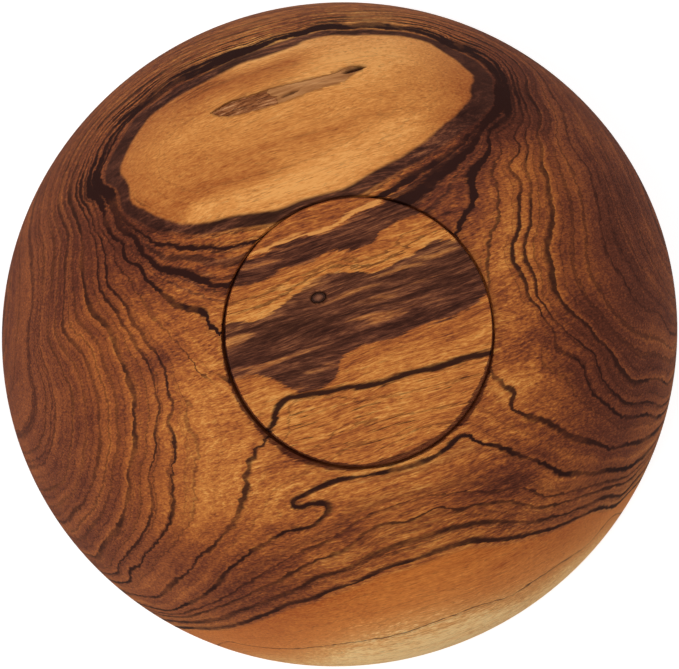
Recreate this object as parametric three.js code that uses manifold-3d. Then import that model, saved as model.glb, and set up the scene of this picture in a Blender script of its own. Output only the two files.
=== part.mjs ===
// A turned olive wood bowl with a let-in foot disc, standing on its foot.
// Millimetres, +Z up, X along the grain, origin on the table under the middle of the foot.
import * as THREE from "three";
import { mergeVertices } from "three/addons/utils/BufferGeometryUtils.js";
import Module from "manifold-3d";

// The turned body
const rimLength = 250; // outside the rim, along the grain
const rimWidth = 244; // outside the rim, across the grain, where the wood shrank more
const bowlHeight = 75; // table to the top of the lip
const rimThickness = 7; // wall at the lip, rounded over to half of this
const shoulderThickness = 12; // wall where the underside leaves the foot
const floorThickness = 5; // wood left between the foot's seat and the inside
const underSlope = 8; // degrees that the underside rises from level beside the foot
const rimLean = 9; // degrees that the wall leans out from upright at the lip
const bellyReach = 42; // how far the underside runs on before it turns up
const wallReach = 38; // how far down from the lip the wall stays steep

// The foot disc and its seat
const footDiameter = 92;
const footProud = 2.5; // how far the disc stands out of the underside
const footEdgeRadius = 1.2; // worn round edge of the disc
const seatDepth = 4; // how far the disc is let into the underside
const glueGap = 0.3; // glue line round the disc and over it
const grooveWidth = 1.2; // bevel round the seat, seen as the dark line round the foot
const grooveDepth = 1.4;

// The bark pocket in the underside, and what fills it
const pocketLength = 56; // tip to tip, along the grain
const pocketWidth = 6; // at its fullest place
const pocketBlunt = 10; // from its blunt tip to its fullest place
const pocketDepth = 4.5; // below the underside at its middle
const pocketAlong = 3; // its middle, along the grain from the bowl's axis
const pocketInset = 33; // from the rim's side on -Y in to its middle, across the grain
const barkLength = 23; // how much of the pocket the old bark still fills, from its blunt tip
const inlayGap = 0.3; // between each filling, the pocket and each other

// The pin knot in the foot disc
const knotLength = 5; // along the grain
const knotWidth = 3.4; // across the grain
const knotDepth = 3.2;
const knotTaper = 0.5; // how much its radius loses on the way in
const knotSunk = 0.2; // its face lies this far inside the foot's face
const knotAlong = -9.8;
const knotAcross = -15.5;
const knotGap = 0.3;

// Facets
const turnedSides = 64;
const knotSides = 16;
const wallSteps = 14;
const lipSteps = 6;
const floorSteps = 3;
const edgeSteps = 3;
const pocketSteps = 8;
const searchSteps = 40; // halvings when a place on the wall is looked for
const overcut = 2; // how far a cutter runs past the surface it cuts

const rimRadius = rimLength / 2;
const footRadius = footDiameter / 2;
const seatRadius = footRadius + glueGap;
const seatTop = footProud + seatDepth;
const insideFloor = seatTop + floorThickness;
const lipRadius = rimThickness / 2;
const shrinkage = rimWidth / rimLength;
const pocketAcross = pocketInset - rimWidth / 2;

const wasm = await Module();
wasm.setup();

// A closed solid for cutting and joining, from a closed three.js geometry
function solidOf(geometry) {
  geometry.deleteAttribute("normal");
  geometry.deleteAttribute("uv");
  const merged = mergeVertices(geometry);
  const index = merged.index.array;
  const triangles = [];
  for (let i = 0; i < index.length; i += 3) {
    const [a, b, c] = [index[i], index[i + 1], index[i + 2]];
    if (a !== b && b !== c && c !== a) triangles.push(a, b, c);
  }
  return new wasm.Manifold(new wasm.Mesh({
    numProp: 3,
    vertProperties: merged.attributes.position.array,
    triVerts: new Uint32Array(triangles),
  }));
}

// The geometry of a finished solid
function geometryOf(solid) {
  const mesh = solid.getMesh();
  const geometry = new THREE.BufferGeometry();
  geometry.setAttribute("position", new THREE.BufferAttribute(mesh.vertProperties, 3));
  geometry.setIndex(new THREE.BufferAttribute(mesh.triVerts, 1));
  geometry.computeVertexNormals();
  return geometry;
}

// A solid turned about +Z from profile points of radius and height
function turned(points, sides) {
  return new THREE.LatheGeometry(points, sides).rotateX(quarterTurn);
}

// The profile point a given distance from another, at an angle from level
function pointFrom(start, angle, distance) {
  return new THREE.Vector2(Math.cos(angle), Math.sin(angle)).multiplyScalar(distance).add(start);
}

// The outside of the wall, from the seat's edge to the start of the rounded lip
const quarterTurn = Math.PI / 2;
const slope = THREE.MathUtils.degToRad(underSlope);
const lean = THREE.MathUtils.degToRad(rimLean);
const lipCentre = new THREE.Vector2(rimRadius - lipRadius, bowlHeight - lipRadius);
const wallFoot = new THREE.Vector2(seatRadius, footProud);
const wallHead = pointFrom(lipCentre, -lean, lipRadius);
const outerWall = new THREE.CubicBezierCurve(
  wallFoot,
  pointFrom(wallFoot, slope, bellyReach),
  pointFrom(wallHead, -quarterTurn - lean, wallReach),
  wallHead,
);

// How steep the outside of the wall is at a place along it, from level
function steepnessAt(t) {
  const tangent = outerWall.getTangent(t);
  return Math.atan2(tangent.y, tangent.x);
}

// A point on the inside of the wall, square to the outside at the same place
function innerWallPoint(t) {
  const thickness = THREE.MathUtils.lerp(shoulderThickness, rimThickness, t);
  return pointFrom(outerWall.getPoint(t), steepnessAt(t) + quarterTurn, thickness);
}

// The whole body before its seat and pocket are cut
function bodyBlank() {
  const outside = outerWall.getPoints(wallSteps);
  const lip = new THREE.EllipseCurve(
    lipCentre.x, lipCentre.y, lipRadius, lipRadius, -lean, Math.PI - lean,
  ).getPoints(lipSteps).slice(1, -1);
  const inside = [];
  for (let i = wallSteps; i >= 0; i -= 1) inside.push(innerWallPoint(i / wallSteps));
  const shoulder = inside[inside.length - 1];
  const floor = new THREE.QuadraticBezierCurve(
    shoulder,
    new THREE.Vector2(shoulder.x / 2, insideFloor),
    new THREE.Vector2(0, insideFloor),
  ).getPoints(floorSteps).slice(1);
  const profile = [new THREE.Vector2(0, footProud), ...outside, ...lip, ...inside, ...floor];
  return turned(profile, turnedSides).scale(1, shrinkage, 1);
}

// What the seat takes out of the underside, with the bevel round its mouth
function seatCutter() {
  const bevelReach = grooveWidth * (1 + footProud / grooveDepth);
  return turned([
    new THREE.Vector2(0, 0),
    new THREE.Vector2(seatRadius + bevelReach, 0),
    new THREE.Vector2(seatRadius, footProud + grooveDepth),
    new THREE.Vector2(seatRadius, seatTop),
    new THREE.Vector2(0, seatTop),
  ], turnedSides);
}

// The foot disc before its knot is cut
function footBlank() {
  const edge = new THREE.EllipseCurve(
    footRadius - footEdgeRadius, footEdgeRadius, footEdgeRadius, footEdgeRadius, -quarterTurn, 0,
  ).getPoints(edgeSteps);
  return turned([
    new THREE.Vector2(0, 0),
    ...edge,
    new THREE.Vector2(footRadius, seatTop - glueGap),
    new THREE.Vector2(0, seatTop - glueGap),
  ], turnedSides);
}

// The knot, a tapered plug from a given height upwards; grow makes the hole that takes it
function knotPlug(bottom, top, grow) {
  const mouth = 1 + (2 * grow) / knotWidth;
  const height = top - bottom;
  const plug = new THREE.CylinderGeometry(1 - (2 * knotTaper) / knotWidth, 1, height, knotSides);
  plug.rotateX(quarterTurn);
  plug.scale((knotLength / 2) * mouth, (knotWidth / 2) * mouth, 1);
  return plug.translate(knotAlong, knotAcross, bottom + height / 2);
}

// Where the outside of the wall lies at a given radius, and how steep it is there
function outsideAt(radius) {
  let low = 0;
  let high = 1;
  for (let i = 0; i < searchSteps; i += 1) {
    const middle = (low + high) / 2;
    if (outerWall.getPoint(middle).x < radius) low = middle;
    else high = middle;
  }
  return { height: outerWall.getPoint(low).y, steepness: steepnessAt(low) };
}

// The pocket's leaf outline, blunt towards -X and drawn out towards +X, run into the wall square to it
function pocketPrism(grow) {
  const bluntTip = -pocketLength / 2 - 2 * grow;
  const drawnTip = pocketLength / 2 + 2 * grow;
  const fullest = bluntTip + pocketBlunt;
  const bulge = pocketWidth / 2 + grow;
  const outline = new THREE.Shape();
  outline.moveTo(bluntTip, 0);
  outline.quadraticCurveTo((bluntTip + fullest) / 2, -bulge, fullest, -bulge);
  outline.quadraticCurveTo((fullest + drawnTip) / 2, -bulge, drawnTip, 0);
  outline.quadraticCurveTo((fullest + drawnTip) / 2, bulge, fullest, bulge);
  outline.quadraticCurveTo((bluntTip + fullest) / 2, bulge, bluntTip, 0);
  const depth = pocketDepth + grow + overcut;
  const extrusion = { depth, bevelEnabled: false, curveSegments: pocketSteps };
  const prism = new THREE.ExtrudeGeometry(outline, extrusion);
  const spot = outsideAt(Math.abs(pocketAcross) / shrinkage);
  prism.translate(0, 0, -overcut);
  prism.rotateX(Math.sign(pocketAcross) * spot.steepness);
  return prism.translate(pocketAlong, pocketAcross, spot.height);
}

// All of space on one side of the place where the bark stops and the filler starts
function fillingSide(from, to) {
  const side = bowlHeight;
  return new THREE.BoxGeometry(to - from, 2 * side, 2 * side).translate((from + to) / 2, pocketAcross, 0);
}

const blank = solidOf(bodyBlank());
const body = blank.subtract(solidOf(seatCutter())).subtract(solidOf(pocketPrism(inlayGap)));
const foot = solidOf(footBlank()).subtract(solidOf(knotPlug(-overcut, knotDepth + knotGap, knotGap)));
const knot = solidOf(knotPlug(knotSunk, knotDepth, 0));
const filling = blank.intersect(solidOf(pocketPrism(0)));
const bluntEnd = pocketAlong - pocketLength / 2;
const barkEnd = bluntEnd + barkLength;
const bark = filling.intersect(solidOf(fillingSide(bluntEnd - overcut, barkEnd - inlayGap / 2)));
const filler = filling.intersect(solidOf(fillingSide(barkEnd + inlayGap / 2, pocketAlong + pocketLength)));

const bowl = new THREE.Group();

function addPiece(name, solid, colour, roughness) {
  const material = new THREE.MeshStandardMaterial({ color: colour, roughness, metalness: 0 });
  const mesh = new THREE.Mesh(geometryOf(solid), material);
  mesh.name = name;
  bowl.add(mesh);
}

addPiece("bowl_body", body, 0xa5653a, 0.45);
addPiece("foot_disc", foot, 0xb06f3c, 0.45);
addPiece("bark_inclusion", bark, 0x6e4027, 0.85);
addPiece("pocket_filler", filler, 0xc08a5c, 0.75);
addPiece("pin_knot", knot, 0x3a2218, 0.6);

export default bowl;
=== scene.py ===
# A turned olive wood bowl with a let-in foot disc, a bark pocket and a pin knot, seen from below.
import math

import bmesh
import bpy
import numpy as np
from mathutils import Matrix, Vector, noise


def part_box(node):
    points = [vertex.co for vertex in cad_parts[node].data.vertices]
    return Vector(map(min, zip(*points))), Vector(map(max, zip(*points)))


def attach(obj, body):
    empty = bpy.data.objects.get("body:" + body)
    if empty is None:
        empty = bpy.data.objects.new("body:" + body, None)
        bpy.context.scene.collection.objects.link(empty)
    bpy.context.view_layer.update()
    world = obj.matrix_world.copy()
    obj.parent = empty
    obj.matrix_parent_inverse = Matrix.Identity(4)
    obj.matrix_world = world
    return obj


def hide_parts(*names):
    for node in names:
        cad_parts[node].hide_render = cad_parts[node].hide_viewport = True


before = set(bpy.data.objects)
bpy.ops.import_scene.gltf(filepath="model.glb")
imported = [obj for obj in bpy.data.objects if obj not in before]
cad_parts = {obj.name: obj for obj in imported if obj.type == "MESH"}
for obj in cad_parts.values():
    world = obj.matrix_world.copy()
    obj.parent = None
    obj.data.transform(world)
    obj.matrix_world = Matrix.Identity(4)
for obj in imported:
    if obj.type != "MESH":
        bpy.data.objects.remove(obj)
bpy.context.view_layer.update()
scene = bpy.context.scene
scene.view_settings.view_transform = "Standard"

# Sizes in millimetres, from the frame where it holds them, and angles
MM = 0.001


def node_box(node):
    """The low and the high corner of a node of the frame."""
    low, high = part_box(node)
    return np.array(low) / MM, np.array(high) / MM


body_low, body_high = node_box("bowl_body")
foot_low, foot_high = node_box("foot_disc")
knot_low, knot_high = node_box("pin_knot")
bark_high = node_box("bark_inclusion")[1]
filler_low = node_box("pocket_filler")[0]

RIM_RADIUS = (body_high[0] - body_low[0]) / 2
SHRINKAGE = (body_high[1] - body_low[1]) / (body_high[0] - body_low[0])
BOWL_HEIGHT = body_high[2]
RIM_THICKNESS = 7
SHOULDER_THICKNESS = 12
FLOOR_THICKNESS = 5
UNDER_SLOPE = math.radians(8)
RIM_LEAN = math.radians(9)
BELLY_REACH = 42
WALL_REACH = 38

FOOT_THICKNESS = foot_high[2]
FOOT_PROUD = 2.5
FOOT_EDGE_RADIUS = 0.7
CLEARANCE = 0.3  # round and above the disc in the frame
GLUE_LINE = 0.12  # what is seen of it once the glue has filled it
SEAT_RADIUS = (foot_high[0] - foot_low[0]) / 2 + CLEARANCE
SEAT_TOP = FOOT_THICKNESS + CLEARANCE
FOOT_RADIUS = SEAT_RADIUS - GLUE_LINE
GROOVE_WIDTH = 1.0
GROOVE_DEPTH = 0.8

POCKET_DEPTH = 4.5
POCKET_ACROSS = -89
INLAY_GAP = 0.3
SEAM_ALONG = (bark_high[0] + filler_low[0]) / 2
SEAM_GAP = 0.1

# The photograph's camera, fitted to the outlines of the rim and the foot
PHOTO_SIZE = (679, 669)
GRAIN_ANGLE = math.radians(17.84)
CAMERA_PLACE = np.array((-81.9, -15.9, -956.5))
CAMERA_AIM = np.array((-3.64, -0.63, 40))
FOCAL_PIXELS = 2801.4
SENSOR_WIDTH = 36
CLIP_START = 0.01  # metres

photo_in = (CAMERA_AIM - CAMERA_PLACE) / np.linalg.norm(CAMERA_AIM - CAMERA_PLACE)
photo_right = np.cross((-math.sin(GRAIN_ANGLE), math.cos(GRAIN_ANGLE), 0), photo_in)
photo_right /= np.linalg.norm(photo_right)
photo_down = np.cross(photo_in, photo_right)


def make_camera():
    data = bpy.data.cameras.new("photo_camera")
    data.sensor_width = SENSOR_WIDTH
    data.lens = FOCAL_PIXELS * SENSOR_WIDTH / PHOTO_SIZE[0]
    data.clip_start = CLIP_START
    camera = bpy.data.objects.new("photo_camera", data)
    scene.collection.objects.link(camera)
    turn = Matrix((photo_right, -photo_down, -photo_in)).transposed()
    camera.matrix_world = Matrix.Translation(Vector(CAMERA_PLACE * MM)) @ turn.to_4x4()
    scene.camera = camera


# The turned profile
def bezier(points, t):
    a, b, c, d = (np.asarray(point, float) for point in points)
    t = np.asarray(t, float)[:, None]
    return (1 - t) ** 3 * a + 3 * (1 - t) ** 2 * t * b + 3 * (1 - t) * t ** 2 * c + t ** 3 * d


def bezier_normal(points, t):
    """Ways square to a curve, to the left of its run."""
    a, b, c, d = (np.asarray(point, float) for point in points)
    t = np.asarray(t, float)[:, None]
    slope = (1 - t) ** 2 * (b - a) + 2 * (1 - t) * t * (c - b) + t ** 2 * (d - c)
    slope /= np.linalg.norm(slope, axis=1, keepdims=True)
    return np.stack((-slope[:, 1], slope[:, 0]), axis=1)


def direction(angle):
    """A way in the profile at an angle from level."""
    return np.array((math.cos(angle), math.sin(angle)))


LIP_RADIUS = RIM_THICKNESS / 2
LIP_CENTRE = np.array((RIM_RADIUS - LIP_RADIUS, BOWL_HEIGHT - LIP_RADIUS))
WALL_FOOT = np.array((SEAT_RADIUS, FOOT_PROUD))
WALL_HEAD = LIP_CENTRE + LIP_RADIUS * direction(-RIM_LEAN)
OUTER_WALL = (
    WALL_FOOT,
    WALL_FOOT + BELLY_REACH * direction(UNDER_SLOPE),
    WALL_HEAD + WALL_REACH * direction(-math.pi / 2 - RIM_LEAN),
    WALL_HEAD,
)
WALL_SHARES = np.linspace(0, 1, 401)
WALL_SAMPLES = bezier(OUTER_WALL, WALL_SHARES)


def wall_height(radius):
    """The height of the wall's outside at a radius, before the wood shrank."""
    return np.interp(radius, WALL_SAMPLES[:, 0], WALL_SAMPLES[:, 1])


def turned_radius(points):
    """The radius of points before the wood shrank."""
    return np.hypot(points[:, 0], points[:, 1] / SHRINKAGE)


def inner_wall(t):
    thickness = SHOULDER_THICKNESS + (RIM_THICKNESS - SHOULDER_THICKNESS) * np.asarray(t)
    return bezier(OUTER_WALL, t) + bezier_normal(OUTER_WALL, t) * thickness[:, None]


def arc(centre, radius, start, end, steps):
    angles = np.linspace(start, end, steps)
    return centre + radius * np.stack((np.cos(angles), np.sin(angles)), axis=1)


def line(start, end, steps):
    return np.linspace(np.asarray(start, float), np.asarray(end, float), steps)


def with_shrinkage(points, shares):
    """Profile points as (radius, share of the shrinkage, height)."""
    shares = np.broadcast_to(shares, len(points))
    return np.stack((points[:, 0], shares, points[:, 1]), axis=1)


# How many points each stretch of a profile has
CEILING_POINTS, SEAT_POINTS, GROOVE_POINTS, WALL_POINTS = 8, 4, 6, 74
LIP_POINTS, INSIDE_POINTS, FLOOR_POINTS = 17, 58, 25
FACE_POINTS, EDGE_POINTS, SIDE_POINTS, BACK_POINTS = 46, 9, 6, 10
OVAL_POINTS = 10  # over so many points of the wall its round edge at the groove becomes oval
GROOVE_MARGIN = 0.5  # from the groove to the first of the wall's points
BODY_STEPS_AROUND, FOOT_STEPS_AROUND = 353, 289


def inside_floor(shoulder):
    """The inside of the floor, from the foot of the inner wall to the bowl's axis."""
    height = SEAT_TOP + FLOOR_THICKNESS
    middle = np.array((shoulder[0] / 2, height))
    end = np.array((0, height))
    t = np.linspace(0, 1, FLOOR_POINTS)[1:, None]
    return (1 - t) ** 2 * shoulder + 2 * (1 - t) * t * middle + t ** 2 * end


def body_profile():
    groove_foot = (SEAT_RADIUS, FOOT_PROUD + GROOVE_DEPTH)
    groove_end = SEAT_RADIUS + GROOVE_WIDTH
    groove_lip = (groove_end, wall_height(groove_end))
    ceiling = line((0, SEAT_TOP), (SEAT_RADIUS, SEAT_TOP), CEILING_POINTS)
    seat = line((SEAT_RADIUS, SEAT_TOP), groove_foot, SEAT_POINTS)[1:]
    groove = line(groove_foot, groove_lip, GROOVE_POINTS)[1:]
    first = np.interp(groove_end + GROOVE_MARGIN, WALL_SAMPLES[:, 0], WALL_SHARES)
    outside = bezier(OUTER_WALL, np.linspace(first, 1, WALL_POINTS))
    lip = arc(LIP_CENTRE, LIP_RADIUS, -RIM_LEAN, math.pi - RIM_LEAN, LIP_POINTS)[1:-1]
    inside = inner_wall(np.linspace(1, 0, INSIDE_POINTS))
    oval = np.clip(np.arange(len(outside)) / OVAL_POINTS, 0, 1)
    return np.concatenate((
        with_shrinkage(np.concatenate((ceiling, seat, groove)), 0),
        with_shrinkage(outside, oval),
        with_shrinkage(np.concatenate((lip, inside, inside_floor(inside[-1]))), 1),
    ))


def foot_profile():
    face = line((0, 0), (FOOT_RADIUS - FOOT_EDGE_RADIUS, 0), FACE_POINTS)
    edge_centre = np.array((FOOT_RADIUS - FOOT_EDGE_RADIUS, FOOT_EDGE_RADIUS))
    edge = arc(edge_centre, FOOT_EDGE_RADIUS, -math.pi / 2, 0, EDGE_POINTS)[1:]
    side = line((FOOT_RADIUS, FOOT_EDGE_RADIUS), (FOOT_RADIUS, FOOT_THICKNESS), SIDE_POINTS)[1:]
    back = line((FOOT_RADIUS, FOOT_THICKNESS), (0, FOOT_THICKNESS), BACK_POINTS)[1:]
    return with_shrinkage(np.concatenate((face, edge, side, back)), 0)


# Node helpers
def feed(tree, socket, value):
    """Links a socket to another, or gives it a plain value."""
    if isinstance(value, bpy.types.NodeSocket):
        tree.links.new(value, socket)
    else:
        socket.default_value = value


def add(tree, kind, inputs=None, **settings):
    made = tree.nodes.new(kind)
    for name, value in settings.items():
        setattr(made, name, value)
    for name, value in (inputs or {}).items():
        feed(tree, made.inputs[name], value)
    return made


def maths(tree, operation, *values):
    made = add(tree, "ShaderNodeMath", operation=operation)
    for socket, value in zip(made.inputs, values):
        feed(tree, socket, value)
    return made.outputs[0]


def new_tree(name, kind, inputs, outputs):
    tree = bpy.data.node_groups.new(name, kind)
    for label, socket_type in inputs:
        tree.interface.new_socket(label, in_out="INPUT", socket_type=socket_type)
    for label, socket_type in outputs:
        tree.interface.new_socket(label, in_out="OUTPUT", socket_type=socket_type)
    return tree, tree.nodes.new("NodeGroupInput").outputs, tree.nodes.new("NodeGroupOutput").inputs


# Turning on the lathe, as Geometry Nodes
GEOMETRY, FLOAT, INTEGER = "NodeSocketGeometry", "NodeSocketFloat", "NodeSocketInt"
COLOUR, VECTOR, MATERIAL = "NodeSocketColor", "NodeSocketVector", "NodeSocketMaterial"
WELD_DISTANCE, MERGE_DISTANCE = 1e-6, 1e-7  # metres
SHARP_ANGLE = 40


def lathe_tree():
    """Turns a row of points (radius, share of the shrinkage, height) about +Z into a closed solid."""
    tree, given, result = new_tree(
        "turned_on_the_lathe", "GeometryNodeTree",
        (("Profile", GEOMETRY), ("Steps Around", INTEGER), ("Steps Along", INTEGER),
         ("Shrinkage", FLOAT), ("Weld", FLOAT), ("Wood", MATERIAL)),
        (("Geometry", GEOMETRY),),
    )
    grid = add(tree, "GeometryNodeMeshGrid", {
        "Size X": 1.0, "Size Y": 1.0,
        "Vertices X": given["Steps Around"], "Vertices Y": given["Steps Along"],
    })
    place = add(tree, "ShaderNodeSeparateXYZ", {0: tree.nodes.new("GeometryNodeInputPosition").outputs[0]})
    angle = maths(tree, "MULTIPLY", maths(tree, "ADD", place.outputs[0], 0.5), 2 * math.pi)
    last = maths(tree, "SUBTRACT", given["Steps Along"], 1.0)
    station = maths(tree, "MULTIPLY", maths(tree, "ADD", place.outputs[1], 0.5), last)
    sample = add(tree, "GeometryNodeSampleIndex", data_type="FLOAT_VECTOR", domain="POINT")
    feed(tree, sample.inputs["Geometry"], given["Profile"])
    feed(tree, sample.inputs["Value"], tree.nodes.new("GeometryNodeInputPosition").outputs[0])
    feed(tree, sample.inputs["Index"], maths(tree, "ROUND", station))
    profile = add(tree, "ShaderNodeSeparateXYZ", {0: sample.outputs[0]})
    loss = maths(tree, "SUBTRACT", given["Shrinkage"], 1.0)
    squeeze = maths(tree, "MULTIPLY_ADD", profile.outputs[1], loss, 1.0)
    along = maths(tree, "MULTIPLY", profile.outputs[0], maths(tree, "COSINE", angle))
    across = maths(tree, "MULTIPLY", profile.outputs[0], maths(tree, "SINE", angle))
    turned = add(tree, "ShaderNodeCombineXYZ", {
        0: along, 1: maths(tree, "MULTIPLY", across, squeeze), 2: profile.outputs[2],
    })
    shaped = add(tree, "GeometryNodeSetPosition", {
        "Geometry": grid.outputs[0], "Position": turned.outputs[0],
    })
    welded = add(tree, "GeometryNodeMergeByDistance", {
        "Geometry": shaped.outputs[0], "Distance": given["Weld"],
    })
    smooth = add(tree, "GeometryNodeSetShadeSmooth", {0: welded.outputs[0]})
    real = add(tree, "GeometryNodeRealizeInstances", {0: smooth.outputs[0]})
    painted = add(tree, "GeometryNodeSetMaterial", {"Geometry": real.outputs[0], "Material": given["Wood"]})
    feed(tree, result[0], painted.outputs[0])
    return tree


def linked(name, mesh):
    piece = bpy.data.objects.new(name, mesh)
    scene.collection.objects.link(piece)
    return piece


def settle(piece):
    """Turns a piece with modifiers into a plain mesh."""
    graph = bpy.context.evaluated_depsgraph_get()
    mesh = bpy.data.meshes.new_from_object(piece.evaluated_get(graph), depsgraph=graph)
    piece.modifiers.clear()
    piece.data = mesh
    return piece


def close_up(piece, sharp_angle=SHARP_ANGLE):
    """Merges doubles, turns faces outwards and keeps real edges sharp."""
    shape = bmesh.new()
    shape.from_mesh(piece.data)
    bmesh.ops.remove_doubles(shape, verts=shape.verts, dist=MERGE_DISTANCE)
    bmesh.ops.recalc_face_normals(shape, faces=shape.faces)
    if shape.calc_volume(signed=True) < 0:
        bmesh.ops.reverse_faces(shape, faces=shape.faces)
    for face in shape.faces:
        face.smooth = True
    shape.to_mesh(piece.data)
    shape.free()
    piece.data.set_sharp_from_angle(angle=math.radians(sharp_angle))
    return piece


def only_material(piece, material):
    """Gives all of a piece one material."""
    piece.data.materials.clear()
    piece.data.materials.append(material)
    piece.data.polygons.foreach_set("material_index", np.zeros(len(piece.data.polygons), np.int32))


def turned_piece(name, profile, tree, steps_around, wood):
    """A piece turned on the lathe from a profile."""
    mesh = bpy.data.meshes.new(name)
    mesh.from_pydata([tuple(point) for point in profile * (MM, 1, MM)], [], [])
    piece = linked(name, mesh)
    lathe = piece.modifiers.new("lathe", "NODES")
    lathe.node_group = tree
    sockets = {item.name: item.identifier for item in tree.interface.items_tree if item.in_out == "INPUT"}
    lathe[sockets["Steps Around"]] = steps_around
    lathe[sockets["Steps Along"]] = len(profile)
    lathe[sockets["Shrinkage"]] = float(SHRINKAGE)
    lathe[sockets["Weld"]] = WELD_DISTANCE
    lathe[sockets["Wood"]] = wood
    settle(piece)
    only_material(piece, wood)
    return close_up(piece)


def cut(piece, cutter):
    """Cuts one piece out of another and removes it."""
    hole = piece.modifiers.new("hole", "BOOLEAN")
    hole.operation = "DIFFERENCE"
    hole.solver = "MANIFOLD"
    hole.object = cutter
    wood = piece.data.materials[0]
    settle(piece)
    bpy.data.objects.remove(cutter)
    only_material(piece, wood)
    return close_up(piece)


# The growth layers: numbers that run from the bark side inwards, read off the photograph's lines
EYE_HEART, EYE_EDGE, BAND_EDGE, SECOND_LINE, SECOND_BAND = -1.6, 0.0, 1.0, 1.6, 2.2
JAGGED, FAINT, DOUBLE_INNER, DOUBLE_OUTER, BROAD, OUTER, RIM = 3.0, 3.5, 4.0, 4.4, 5.2, 6.2, 7.0
LOW_JAGGED, HOOK, LOW_THIN, LOW_FINE = 3.4, 2.6, 2.2, 1.9
LOW_TWIN, SAP_EDGE, SAP_LINE, SAP_RIM = 1.2, 0.3, -2.0, -3.6
FIRST_BAND_TOP, FIRST_BAND_END, BROAD_BAND_TOP, BROAD_BAND_END, FOOT_FORK = 0.0, 1.0, 2.0, 3.0, 4.0
HOOK_SLOPE = 0.25  # how far the layers beside the hook are from it

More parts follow.
